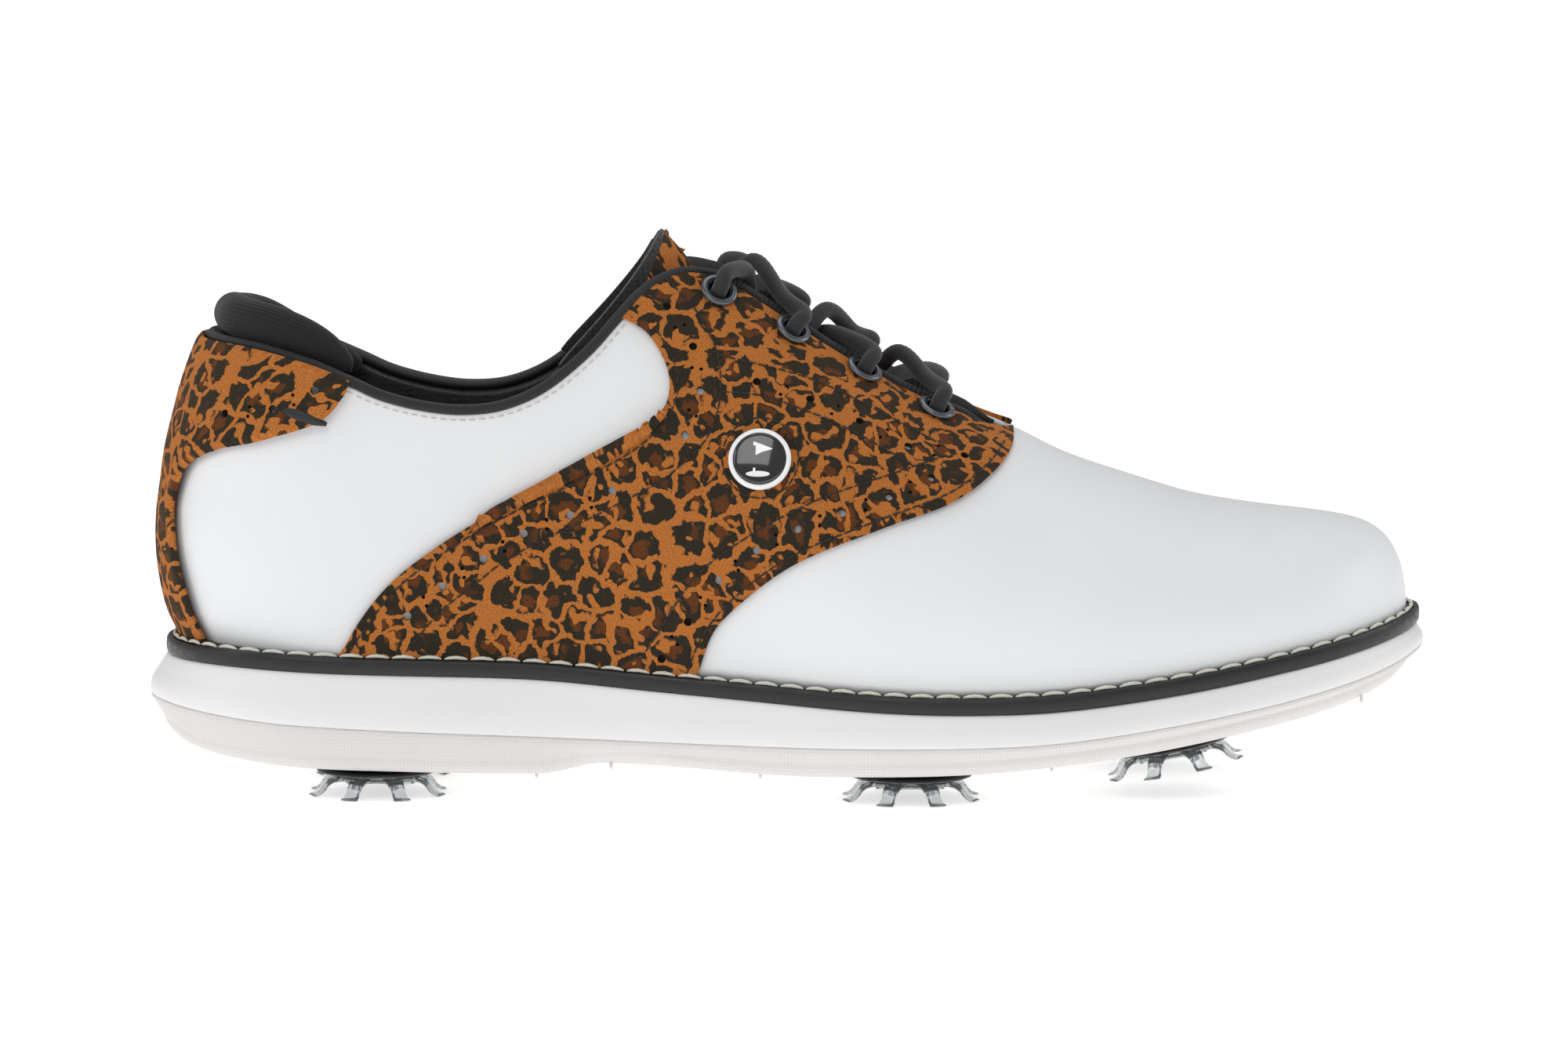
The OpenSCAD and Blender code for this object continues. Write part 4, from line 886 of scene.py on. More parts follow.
def printed_suede(name):
    """Printed suede, its pattern laid in the cut piece's own plane in millimetres."""
    material, tree = new_material(name)
    flat = add_node(tree, "ShaderNodeMapping", {
        0: add_node(tree, "ShaderNodeUVMap", uv_map="cut").outputs[0],
        "Scale": (1000.0, 1000.0, 1000.0)})

    def noise(scale, detail=2.0, rough=0.5, shift=0.0):
        moved = add_node(tree, "ShaderNodeVectorMath", {0: flat.outputs[0], 1: (shift, shift, 0)},
                         operation="ADD")
        return add_node(tree, "ShaderNodeTexNoise", {
            "Vector": moved.outputs[0], "Scale": scale, "Detail": detail, "Roughness": rough},
            noise_dimensions="2D")

    def sums(a, b, c, operation="MULTIPLY_ADD"):
        return add_node(tree, "ShaderNodeMath", {0: a, 1: b, 2: c}, operation=operation).outputs[0]

    def ramp(value, low, high, start=0.0, end=1.0):
        return add_node(tree, "ShaderNodeMapRange", {0: value, 1: low, 2: high, 3: start, 4: end},
                        interpolation_type="SMOOTHSTEP").outputs[0]

    # Rosettes about 6.6 mm apart, bent out of true by a slow wander of 1.5 mm
    wander = add_node(tree, "ShaderNodeVectorMath", {
        0: add_node(tree, "ShaderNodeVectorMath", {
            0: noise(0.16).outputs["Color"], 1: (0.5, 0.5, 0.5)}, operation="SUBTRACT").outputs[0],
        "Scale": 5.0}, operation="SCALE")
    bent = add_node(tree, "ShaderNodeVectorMath", {0: flat.outputs[0], 1: wander.outputs[0]},
                    operation="ADD")
    pitch = 6.4
    border = add_node(tree, "ShaderNodeTexVoronoi", {
        "Vector": bent.outputs[0], "Scale": 1 / pitch, "Randomness": 0.95},
        voronoi_dimensions="2D", feature="DISTANCE_TO_EDGE")
    heart = add_node(tree, "ShaderNodeTexVoronoi", {
        "Vector": bent.outputs[0], "Scale": 1 / pitch, "Randomness": 0.95},
        voronoi_dimensions="2D", feature="F1")
    ragged = noise(0.55, 2.0).outputs[0]
    from_border = sums(border.outputs["Distance"], pitch, sums(ragged, 1.5, -0.75))
    from_heart = sums(heart.outputs["Distance"], pitch, sums(noise(0.6, 2.0, 0.5, 31.0).outputs[0],
                                                             2.4, -1.2))
    blot = sums(ramp(from_border, 0.5, 0.7), ramp(from_heart, 4.1, 3.85), 0.0)
    # Some rosettes open into a C, others break in two
    breaks = ramp(noise(0.27, 1.0, 0.5, 77.0).outputs[0], 0.6, 0.625)
    open_c = sums(breaks, ramp(from_heart, 3.2, 2.2), 0.0)
    black = sums(blot, sums(open_c, -1.0, 1.0), 0.0)
    rust = sums(ramp(from_heart, 1.75, 1.25), ramp(noise(0.12, 1.0, 0.5, 13.0).outputs[0],
                                                    0.36, 0.5), 0.0)

    nap = noise(3.2, 4.0, 0.75).outputs[0]
    cloudy = noise(0.35, 3.0, 0.6, 9.0).outputs[0]
    ground = add_node(tree, "ShaderNodeMix", {
        "Factor": ramp(nap, 0.3, 0.72), "A": linear("#8E4E1C"), "B": linear("#C9803F")},
        data_type="RGBA")
    ground = add_node(tree, "ShaderNodeMix", {
        "Factor": ramp(cloudy, 0.35, 0.75, 0.0, 0.4), "A": ground.outputs["Result"],
        "B": linear("#B66A2B")}, data_type="RGBA")
    ink = add_node(tree, "ShaderNodeMix", {
        "Factor": ramp(nap, 0.35, 0.85), "A": linear("#1F1D17"), "B": linear("#3D382B")},
        data_type="RGBA")
    inner = add_node(tree, "ShaderNodeMix", {
        "Factor": ramp(nap, 0.35, 0.8), "A": linear("#4A2A14"), "B": linear("#7A4420")},
        data_type="RGBA")
    spots = add_node(tree, "ShaderNodeMix", {
        "Factor": rust, "A": ink.outputs["Result"], "B": inner.outputs["Result"]},
        data_type="RGBA")
    colour = add_node(tree, "ShaderNodeMix", {
        "Factor": black, "A": ground.outputs["Result"], "B": spots.outputs["Result"]},
        data_type="RGBA")
    height = sums(nap, 0.7, sums(noise(1.1, 3.0).outputs[0], 0.6, 0.0))
    finish_material(tree, add_node(tree, "ShaderNodeBsdfPrincipled", {
        "Base Color": colour.outputs["Result"], "Roughness": 0.92, "Specular IOR Level": 0.2,
        "Sheen Weight": 0.12, "Sheen Roughness": 0.6, "Sheen Tint": linear("#C98A55"),
        "Normal": add_node(tree, "ShaderNodeBump", {
            "Strength": 0.55, "Distance": 0.0002, "Height": height}).outputs[0]}))
    return material


suede = printed_suede("printed_split_suede")

# ---- Saddles ----
# The suede saddle of each side, from the sole up to the eyelets, sewn on the white leather along
# its front and rear edges. It is punched with decorative holes: large ones in a row with pairs
# of small ones between them.
saddle_rear = [(-97.5, float(feather_z(-97.5))), (-93.5, 38.5), (-84, 49.7), (-67, 61),
               (-47.4, 70.6), (-33.5, 78.2), (-26.6, 85.6), (-26, 93), (-30.2, 100.5),
               (-36, 106 - edge_drop - suede_drop)]
saddle_front = [(-20.3, float(feather_z(-20.3))), (-17.2, 35.5), (-10.8, 43.6), (2, 52.9),
                (20, 60), (35.5, 65.2), (44.5, 70.8), (48.6, 75), at_rise(49.4, 0.999)]
saddle_top = ([(x, z - edge_drop - suede_drop) for x, z in collar_line[10:14]]
              + [(x - 0.4, z - 0.5 - suede_drop) for x, z in facing_line]
              + [at_rise(49.4, 0.999)])
large_rows = [
    [(-26.5, 106.5), (-20.7, 98.1), (-19, 89), (-22.2, 79.7), (-37.9, 68), (-47.1, 62.7),
     (-57.2, 58.7), (-65.9, 53.2), (-74.8, 47.3), (-82.4, 40.9)],
    [(-6.9, 90.6), (4.5, 86.7), (15.2, 81.9), (25.7, 76.5), (37.9, 74.2)],
    [(30.7, 70.2), (21.7, 66.7), (11.7, 63.6), (2.2, 60.3), (-6.7, 55.7), (-14.8, 49.1),
     (-21.4, 40.1), (-27.1, 31.9)]]


def punch(bm, row, side):
    """Large holes along a row, and a slanting pair of small ones half way between them."""
    for point in row:
        drill(bm, point, side, 0.9, 0.15, 4, 16)
    for a, b in zip(row[:-1], row[1:]):
        if math.dist(a, b) > 15:
            continue
        way = (np.array(b) - a) / math.dist(a, b)
        across = np.array([-way[1], way[0]])
        for sign in (-1, 1):
            drill(bm, (np.array(a) + b) / 2 + sign * (across * 0.95 + way * 0.35), side, 0.42,
                  0.6, 4, 10)


def rim(u, v, lengths, depth, reach=1.3):
    """How far a sewn panel's surface sinks towards its edges."""
    near = np.minimum(np.minimum(u, 1 - u) * lengths[0], np.minimum(v, 1 - v) * lengths[1])
    return -depth * (1 - np.clip(near / reach, 0, 1)) ** 2


for side, label in ((lateral, "lateral"), (medial, "medial")):
    saddle = patch(feather_line(-97.5, -20.3), saddle_top, saddle_rear, saddle_front)

    def saddle_place(u, v):
        return on_last(saddle(u, v), side, suede_out + rim(u, v, (70, 70), 0.3))

    bm = grid_mesh(150, 130, saddle_place, flat_map(saddle, side, suede_out))
    if side > 0:
        bmesh.ops.reverse_faces(bm, faces=bm.faces)
    made = make_piece("suede_saddle_" + label, bm, "root", suede,
                      ["saddle_" + label], sharp=0, wall=0.00125)
    settled(made)
    cutters = bmesh.new()
    eyelet_cutters(cutters, side)
    for row in large_rows:
        punch(cutters, row, side)
    cut_out(made, cutters)
    made.data.set_sharp_from_angle(angle=math.radians(50))

# ---- Heel foxing and its tab ----
# A band of the same suede up the back of the heel and along the collar, in one piece round both
# sides, with a small pointed tab of black leather sewn through it on the outer side.
foxing_front = [(-125.5, float(feather_z(-125.5))), (-129.5, 43), (-132.3, 55), (-132, 66),
                (-126.5, 75.6), (-112, 79.6), (-101, 83), (-96.2, 88),
                (-95.2, 92.3 - edge_drop - suede_drop)]
foxing_top = from_heel([(x, z - edge_drop - suede_drop) for x, z in collar_line[:4]])
foxing_low = from_heel(feather_line(heel_foot, -125.5))
foxing_edge = from_heel(foxing_front)


def foxing_points(u, v):
    """Points [x, z] of the foxing, from the middle of the heel (u = 0) to its front edge."""
    edge = along(foxing_edge, v)
    low = read(foxing_low, u * foxing_edge[0, 0])
    high = read(foxing_top, u * foxing_edge[-1, 0])
    skew = edge[:, 1] - (foxing_edge[0, 1] * (1 - v) + foxing_edge[-1, 1] * v)
    return to_last(np.stack([u * edge[:, 0], low * (1 - v) + high * v + u * skew], -1))


def foxing_place(u, v):
    around = 2 * u - 1
    return on_last(foxing_points(np.abs(around) ** 1.8, v), np.where(around < 0, lateral, medial),
                   suede_out + rim(u, v, (70, 66), 0.3))


def foxing_flat(u, v):
    points = foxing_place(u, v)
    turn = np.zeros(len(u))
    for k in range(16):
        a = foxing_place(0.5 + (u - 0.5) * k / 16, v)
        b = foxing_place(0.5 + (u - 0.5) * (k + 1) / 16, v)
        turn += np.linalg.norm((b - a)[:, :2], axis=1)
    return np.stack([turn * np.sign(u - 0.5) + 7, points[:, 2] + 13], -1)


bm = grid_mesh(120, 110, foxing_place, foxing_flat)
bmesh.ops.recalc_face_normals(bm, faces=bm.faces)
made = make_piece("suede_foxing", bm, "root", suede, ["heel_foxing"], sharp=0,
                  wall=0.00125)
settled(made)
cutters = bmesh.new()
for side in (lateral, medial):
    punch(cutters, [(-120.3, 83.7), (-110.5, 85.3), (-101.9, 89.5)], side)
cut_out(made, cutters)
made.data.set_sharp_from_angle(angle=math.radians(50))

# ---- Seams of the saddles and the foxing ----
# Black polyester thread in fine lockstitch: close inside every edge, on both sides of the rows of
# punched holes, and in a ring round the badge.
# Bonded thread: near black with a dull shine.
thread, tree = new_material("bonded_black_thread")
coords = add_node(tree, "ShaderNodeTexCoord")
plies = add_node(tree, "ShaderNodeTexNoise", {"Vector": coords.outputs["Object"],
                                              "Scale": 3000.0, "Detail": 2.0})
tone = add_node(tree, "ShaderNodeMix", {"Factor": plies.outputs[0], "A": linear("#0D0C0B"),
                                        "B": linear("#24211D")}, data_type="RGBA")
finish_material(tree, add_node(tree, "ShaderNodeBsdfPrincipled", {
    "Base Color": tone.outputs["Result"], "Roughness": 0.6}))
thread_r, thread_pitch = 0.23, 2.3


def inset(points, distance):
    """An open outline moved sideways in side elevation."""
    p = evenly(np.array(points, float), 60)
    way = np.gradient(p, axis=0)
    way /= np.linalg.norm(way, axis=1)[:, None]
    return p + distance * np.stack([way[:, 1], -way[:, 0]], -1)


def seam(bm, points, side, lift=suede_out):
    """Stitches along [x, z] points on the suede of one side."""
    line = on_last(evenly(np.array(points, float), 200), side, lift + 0.02)
    keep = line[:, 2] > feather_z(line[:, 0]) + 0.8
    line = line[keep]
    total = float(np.sum(np.linalg.norm(np.diff(line, axis=0), axis=1)))
    dots = evenly(line, max(3, round(total / thread_pitch) + 1))
    ups = []
    for a, b in zip(dots[:-1], dots[1:]):
        mid = (a + b) / 2
        ups.append(np.array(outward((mid[0], mid[2]), side)))
    sew(bm, dots, ups, 0.93, thread_r, 0.06)


seam_rows = [
    [(-27.1, 112), (-20.5, 105.6), (-16.6, 99.3), (-14.8, 93.8), (-14.8, 86.1), (-16.9, 79.8),
     (-20, 75.9), (-27.1, 69.8), (-30.3, 68.1), (-42.8, 61.7), (-51.9, 57.6), (-61.2, 52.6),
     (-67.4, 47.8), (-75.3, 41.6), (-82.8, 32.9)],
    [(-15.5, 95.9), (4, 90.7), (20.5, 82.9), (34.3, 75.7)],
    [(-14.8, 88.3), (-5.3, 87.3), (4, 84), (10.5, 81.4), (20.5, 76.2), (27.4, 72.2)],
    [(34.5, 74.3), (26.5, 72.1), (16.6, 69.3), (7.4, 66.4), (-1.9, 62.1), (-7.9, 58.7),
     (-16, 53.2), (-21.6, 47.6), (-26.5, 40), (-32.1, 31.2)],
    inset(saddle_rear[:-1], 1.8),
    inset(saddle_front[:-1], -1.8),
    [(-22, 111.2), (-13.5, 111.4), (-3, 105.4), (8, 99.0), (20, 92.6), (31, 86.8), (40, 82.2)]]
bm = bmesh.new()
for side in (lateral, medial):
    for row in seam_rows:
        seam(bm, row, side)
    seam(bm, inset(foxing_front, -1.8), side)
    seam(bm, [(-125.6, 89.5), (-118, 88.6), (-110, 90), (-104, 93.4)], side)
ring_points = [(badge_place[0] + 8.3 * math.cos(a), badge_place[1] + 8.3 * math.sin(a))
               for a in np.linspace(0, 2 * math.pi, 40)]
seam(bm, ring_points, lateral)
bmesh.ops.recalc_face_normals(bm, faces=bm.faces)
make_piece("black_seams", bm, "root", thread, sharp=0)

# The topstitch that holds the binding is white, and shows only on the white leather.
bm = bmesh.new()
for side in (lateral, medial):
    row = inset([(x, z - edge_drop) for x, z in collar_line[3:11]], 1.3)
    line = on_last(row, side, 0.05)
    dots = evenly(line, 34)
    ups = [np.array(outward((m[0], m[2]), side)) for m in (dots[1:] + dots[:-1]) / 2]
    sew(bm, dots, ups, 0.7, 0.2, 0.03)
bmesh.ops.recalc_face_normals(bm, faces=bm.faces)
make_piece("collar_topstitch", bm, "root", waxed, sharp=0)

# ---- Tab on the foxing ----
# A spindle of black leather about 12 mm long, its rear end drawn through a punched hole.
black_leather, tree = new_material("black_tab_leather")
coords = add_node(tree, "ShaderNodeTexCoord")
grain = add_node(tree, "ShaderNodeTexNoise", {"Vector": coords.outputs["Object"],
                                              "Scale": 1500.0, "Detail": 4.0})
tone = add_node(tree, "ShaderNodeMix", {"Factor": grain.outputs[0], "A": linear("#0C0C0D"),
                                        "B": linear("#1E1E20")}, data_type="RGBA")
finish_material(tree, add_node(tree, "ShaderNodeBsdfPrincipled", {
    "Base Color": tone.outputs["Result"], "Roughness": 0.5,
    "Normal": add_node(tree, "ShaderNodeBump", {
        "Strength": 0.3, "Distance": 0.0001, "Height": grain.outputs[0]}).outputs[0]}))
tab_line = on_last(np.stack([np.linspace(-110.4, -99.4, 24), np.linspace(85.3, 81.8, 24)], -1),
                   lateral, suede_out + 0.55)
tab_line += np.array([0, -1, 0]) * (0.35 * np.sin(np.pi * np.linspace(0, 1, 24)))[:, None]
bm = tube_mesh(tab_line, (0, -1, 0), lambda u: 0.25 + 0.4 * np.sin(np.pi * u) ** 0.8,
               lambda u: 0.2 + 1.15 * np.sin(np.pi * (0.06 + 0.9 * u)) ** 0.8, 14)
make_piece("leather_tab", bm, "root", black_leather, ["foxing_tab"], sharp=0)

# ---- Collar binding ----
# A ribbed grosgrain tape folded over a cord and over the raw edges of leather and lining, from
# one facing round the heel to the other.
# Grosgrain: fine crosswise ribs of 0.7 mm, black with a dull silky sheen from the shader, and a painted
# highlight on their crowns with painted shade between them.
grosgrain, tree = new_material("black_grosgrain")
flat = add_node(tree, "ShaderNodeUVMap", uv_map="cut")
parts = add_node(tree, "ShaderNodeSeparateXYZ", {0: flat.outputs[0]})
binding_mm = 560.0
turn = add_node(tree, "ShaderNodeMath", {0: parts.outputs["X"], 1: binding_mm / 0.75 * 2 * math.pi},
                operation="MULTIPLY")
ribs = add_node(tree, "ShaderNodeMath", {0: turn.outputs[0]}, operation="COSINE")
level = add_node(tree, "ShaderNodeMapRange", {0: ribs.outputs[0], 1: -1.0, 2: 1.0, 3: 0.0, 4: 1.0})
# Painted highlight on the rib crowns and painted shade in the troughs between them.
tone = add_node(tree, "ShaderNodeMix", {"Factor": level.outputs[0], "A": linear("#0A0A0B"),
                                        "B": linear("#1A1B1E")}, data_type="RGBA")
finish_material(tree, add_node(tree, "ShaderNodeBsdfPrincipled", {
    "Base Color": tone.outputs["Result"], "Roughness": 0.62, "Sheen Weight": 0.1,
    "Sheen Roughness": 0.4,
    "Normal": add_node(tree, "ShaderNodeBump", {
        "Strength": 0.5, "Distance": 0.0002, "Height": level.outputs[0]}).outputs[0]}))
binding_top = from_heel(panel_top)
binding_mid, binding_shift = (lining_in + suede_out) / 2, 1.35
steps = np.linspace(-1, 1, 321)
places = to_last(along(binding_top, np.abs(steps) ** 1.9))
edge_line, outwards = [], []
for step, point in zip(steps, places):
    side = lateral if step < 0 else medial
    edge_line.append(on_last(point, side, binding_mid)[0])
    outwards.append(np.array([-1.0, 0, 0]) if abs(step) < 1e-9 else outward(point, side))
edge_line, outwards = np.array(edge_line), np.array(outwards)
ways = np.gradient(edge_line, axis=0)
ways /= np.linalg.norm(ways, axis=1)[:, None]
outwards -= ways * np.sum(ways * outwards, axis=1)[:, None]
outwards /= np.linalg.norm(outwards, axis=1)[:, None]
ups = np.cross(ways, outwards)
binding_line = edge_line + binding_shift * ups


def binding_place(u, v):
    at = u * (len(binding_line) - 1)
    k = np.rint(at).astype(int)
    angle = 2 * np.pi * v
    c, s = np.cos(angle), np.sin(angle)
    wide = 2.5 * np.sign(c) * np.abs(c) ** 0.8
    tall = 1.2 * np.sign(s) * np.abs(s) ** 0.8
    taper = np.clip(np.minimum(u, 1 - u) * 60, 0.25, 1)
    return (binding_line[k] + outwards[k] * (wide * taper)[:, None]
            + ups[k] * (tall * taper)[:, None])


bm = grid_mesh(320, 20, binding_place, lambda u, v: np.stack([u, v], -1) * 1000, weld=True)
bmesh.ops.holes_fill(bm, edges=[e for e in bm.edges if e.is_boundary], sides=0)
bmesh.ops.recalc_face_normals(bm, faces=bm.faces)
make_piece("ribbed_binding", bm, "root", grosgrain, ["collar_binding"], sharp=0)

# ---- Heel pad ----
# A roll of foam covered in ribbed black knit, standing above the binding round the back of the
# collar and thinning out to a rounded end on each side.
# Rib knit: ribs 1.0 mm apart run along the roll, each a row of soft loops; velvety and very dark, with
# painted shade between ribs and loops and a painted highlight on their crowns.
knit, tree = new_material("black_rib_knit")
flat = add_node(tree, "ShaderNodeUVMap", uv_map="cut")
parts = add_node(tree, "ShaderNodeSeparateXYZ", {0: flat.outputs[0]})
rib_turn = add_node(tree, "ShaderNodeMath", {0: parts.outputs["Y"], 1: 30 * 2 * math.pi},
                    operation="MULTIPLY")
loop_turn = add_node(tree, "ShaderNodeMath", {0: parts.outputs["X"], 1: 150 * 2 * math.pi},
                     operation="MULTIPLY")
rib = add_node(tree, "ShaderNodeMath", {0: rib_turn.outputs[0]}, operation="COSINE")
loops = add_node(tree, "ShaderNodeMath", {0: loop_turn.outputs[0]}, operation="COSINE")
weave = add_node(tree, "ShaderNodeMath", {0: loops.outputs[0], 1: 0.35, 2: rib.outputs[0]},
                 operation="MULTIPLY_ADD")
level = add_node(tree, "ShaderNodeMapRange", {0: weave.outputs[0], 1: -1.3, 2: 1.3, 3: 0.0,
                                              4: 1.0})
# Painted shade in the troughs of ribs and loops, and a painted highlight on their crowns.
tone = add_node(tree, "ShaderNodeMix", {"Factor": level.outputs[0], "A": linear("#08080A"),
                                        "B": linear("#18191C")}, data_type="RGBA")
finish_material(tree, add_node(tree, "ShaderNodeBsdfPrincipled", {
    "Base Color": tone.outputs["Result"], "Roughness": 0.9, "Sheen Weight": 0.15,
    "Sheen Roughness": 0.35,
    "Normal": add_node(tree, "ShaderNodeBump", {
        "Strength": 0.5, "Distance": 0.0003, "Height": level.outputs[0]}).outputs[0]}))
pad_rise = [(0, 6.9), (0.4, 6.6), (0.7, 6), (0.9, 4.8), (1, 3.2)]
pad_half = [(0, 4.6), (0.4, 4.4), (0.7, 3.7), (0.9, 2.4), (1, 0.9)]
turns = np.linspace(-1, 1, 121)
pad_points = along(collar_line[:4], np.abs(turns))
# On the medial side the pad lies lower and further in
pad_inset = [(0, 0), (0.15, 1.2), (0.3, 2.6), (0.5, 3.2), (0.8, 2.6), (1, 1.5)]
pad_drop = [(0, 0), (0.15, 0.8), (0.3, 3), (0.5, 5.2), (0.8, 5), (1, 3)]
inner_turn = np.maximum(turns, 0)
pad_line = np.array([on_last(p, lateral if t < 0 else medial, -4.9 - read(pad_inset, i))[0]
                     for t, i, p in zip(turns, inner_turn, pad_points)])
pad_line[:, 2] += read(pad_rise, np.abs(turns)) - read(pad_drop, inner_turn)
for k in range(3):
    pad_line[1:-1] = (pad_line[:-2] + pad_line[1:-1] * 2 + pad_line[2:]) / 4


def pad_size(u):
    part = np.abs(2 * u - 1)
    return read(pad_half, part) * np.clip((1 - part) * 22, 0.12, 1) ** 0.5


bm = tube_mesh(pad_line, (0, -1, 0), lambda u: pad_size(u) * 0.98, pad_size, 36)
pad = make_piece("knit_heel_pad", bm, "root", knit, ["collar_pad"], sharp=0)

# ---- Tongue ----
# A padded tongue sewn in under the vamp's throat: printed suede outside, a sheet of foam, and
# black spacer mesh inside that is folded over the top edge as a dark rim. It rides on a body of
# its own.
tongue_ridge = [(x, float(read(ridge, x))) for x in (56, 44, 32, 20, 8, -4, -14, -22, -27.5)]
tongue_edge = [(54, 64), (42, 64), (30, 66), (18, 70), (5, 76), (-9, 82), (-24, 88), (-38, 93.5),
               (-49.5, 97.5)]
tongue_sink = [(0, -5.6), (0.12, -10.7), (0.78, -10.7), (0.9, -6.6), (1, -4.5)]
tongue_swell = [(0, 0), (0.32, 0), (0.42, 3.4), (0.76, 3.6), (0.88, 4.6), (1, 4.2)]


def tongue_place(depth):
    def place(u, v):
        across = 2 * u - 1
        a = np.abs(across)
        p = (along(tongue_ridge, v) * (1 - a**2.3)[:, None]
             + along(tongue_edge, v) * (a**2.3)[:, None])
        narrow = 3 + (1.1 - 3) * np.clip(8 * v - 6.4, 0, 1)
        swell = read(tongue_swell, v) * np.cos(np.pi / 2 * np.minimum(1, a * narrow)) ** 2
        # The edges turn down and round off
        edge = -0.8 * np.clip((a - 0.93) / 0.07, 0, 1) ** 2
        return last_point(p[:, 0], p[:, 1], (p[:, 1] - feather_z(p[:, 0]))
                          / (crown_z(p[:, 0], 0) - feather_z(p[:, 0])),
                          np.where(across < 0, lateral, medial),
                          read(tongue_sink, v) + swell - depth + edge)
    return place


def tongue_flat(u, v):
    place = tongue_place(0)
    points = place(u, v)
    reach = np.zeros(len(u))
    for k in range(12):
        a = place(0.5 + (u - 0.5) * k / 12, v)
        b = place(0.5 + (u - 0.5) * (k + 1) / 12, v)
        reach += np.linalg.norm((b - a)[:, 1:], axis=1)
    return np.stack([points[:, 0] * 1.25 + 211, reach * np.sign(u - 0.5) + 150], -1)


def turn_over(u):
    """Part of the length at which the suede gives way to the turned mesh edge."""
    across = np.abs(2 * u - 1)
    return 1 - 0.02 - 0.07 * across**1.5


def suede_part(place):
    return lambda u, v: place(0.04 + 0.92 * u, v * turn_over(0.04 + 0.92 * u))


bm = grid_mesh(80, 110, suede_part(tongue_place(0)), suede_part(tongue_flat))
bmesh.ops.recalc_face_normals(bm, faces=bm.faces)
if sum(f.normal.z * f.calc_area() for f in bm.faces) < 0:
    bmesh.ops.reverse_faces(bm, faces=bm.faces)
make_piece("suede_tongue", bm, "tongue", suede, ["tongue_face"], sharp=0,
           wall=0.001)

# Open-cell foam: soft grey, its cut edge porous, with painted shade darkening each pore.
cell_foam, tree = new_material("open_cell_foam")
coords = add_node(tree, "ShaderNodeTexCoord")
pores = add_node(tree, "ShaderNodeTexVoronoi", {"Vector": coords.outputs["Object"],
                                                "Scale": 1300.0})
# Painted shade: the colour darkens into each pore.
tone = add_node(tree, "ShaderNodeMix", {"Factor": pores.outputs["Distance"],
                                        "A": linear("#101012"), "B": linear("#2C2C2F")},
                data_type="RGBA")
finish_material(tree, add_node(tree, "ShaderNodeBsdfPrincipled", {
    "Base Color": tone.outputs["Result"], "Roughness": 0.9,
    "Normal": add_node(tree, "ShaderNodeBump", {
        "Strength": 0.5, "Distance": 0.0002, "Height": pores.outputs["Distance"]}).outputs[0]}))
bm = grid_mesh(60, 90, tongue_place(1.05))
bmesh.ops.recalc_face_normals(bm, faces=bm.faces)
if sum(f.normal.z * f.calc_area() for f in bm.faces) < 0:
    bmesh.ops.reverse_faces(bm, faces=bm.faces)
tongue_core = make_piece("tongue_filling", bm, "tongue", cell_foam,
                         ["tongue_foam"], sharp=0, wall=0.0028)
settled(tongue_core)

bm = grid_mesh(60, 90, tongue_place(3.9))
bmesh.ops.recalc_face_normals(bm, faces=bm.faces)
if sum(f.normal.z * f.calc_area() for f in bm.faces) < 0:
    bmesh.ops.reverse_faces(bm, faces=bm.faces)
# The turned edge: the same mesh folded over the rim, as far as the suede's own edge
rolled = tongue_place(0.12)


def turned_edge(u, v):
    start = turn_over(u) - 0.03
    return rolled(u, start + (1 - start) * v)


make_piece("mesh_tongue_lining", bm, "tongue", mesh_cloth, ["tongue_lining"],
           sharp=0, wall=0.0008)
bm = grid_mesh(90, 24, turned_edge)
bmesh.ops.recalc_face_normals(bm, faces=bm.faces)
if sum(f.normal.z * f.calc_area() for f in bm.faces) < 0:
    bmesh.ops.reverse_faces(bm, faces=bm.faces)
make_piece("turned_tongue_rim", bm, "tongue", mesh_cloth, sharp=0,
           wall=0.0011)

# ---- Eyelets ----
# Pressed steel eyelets in gunmetal enamel, four on each side: a rolled flange outside and the
# barrel clenched over a washer inside.
gunmetal, tree = new_material("gunmetal_enamel")
coords = add_node(tree, "ShaderNodeTexCoord")
speck = add_node(tree, "ShaderNodeTexNoise", {"Vector": coords.outputs["Object"],
                                              "Scale": 1200.0, "Detail": 3.0})
gloss = add_node(tree, "ShaderNodeMapRange", {0: speck.outputs[0], 1: 0.3, 2: 0.7, 3: 0.22,
                                              4: 0.34})
finish_material(tree, add_node(tree, "ShaderNodeBsdfPrincipled", {
    "Base Color": linear("#565A60"), "Metallic": 0.65, "Roughness": gloss.outputs[0],
    "Coat Weight": 0.5, "Coat Roughness": 0.12}))
for side, label in ((lateral, "lateral"), (medial, "medial")):
    bm = bmesh.new()
    for point in eyelet_places:
        outline = [(2.4, -4.8), (2.72, -4.8), (2.72, 1.62), (3.9, 1.62), (4.12, 1.72),
                   (4.18, 1.95), (4.08, 2.25), (3.75, 2.5), (3.3, 2.58), (2.85, 2.5),
                   (2.55, 2.28), (2.42, 1.9)]
        vs = [bm.verts.new((r, 0, h)) for r, h in outline]
        es = [bm.edges.new((vs[k], vs[(k + 1) % len(vs)])) for k in range(len(vs))]
        bmesh.ops.spin(bm, geom=vs + es, cent=(0, 0, 0), axis=(0, 0, 1), angle=2 * math.pi,
                       steps=40, use_merge=True)
        fresh = [v for v in bm.verts if not v.tag]
        bmesh.ops.transform(bm, matrix=Matrix.Scale(0.001, 4) @ surface_frame(point, side),
                            verts=fresh)
        for v in bm.verts:
            v.tag = True
    bmesh.ops.remove_doubles(bm, verts=bm.verts, dist=1e-7)
    bmesh.ops.recalc_face_normals(bm, faces=bm.faces)
    make_piece("enamelled_eyelets_" + label, bm, "root", gunmetal,
               ["eyelets_" + label], sharp=60)

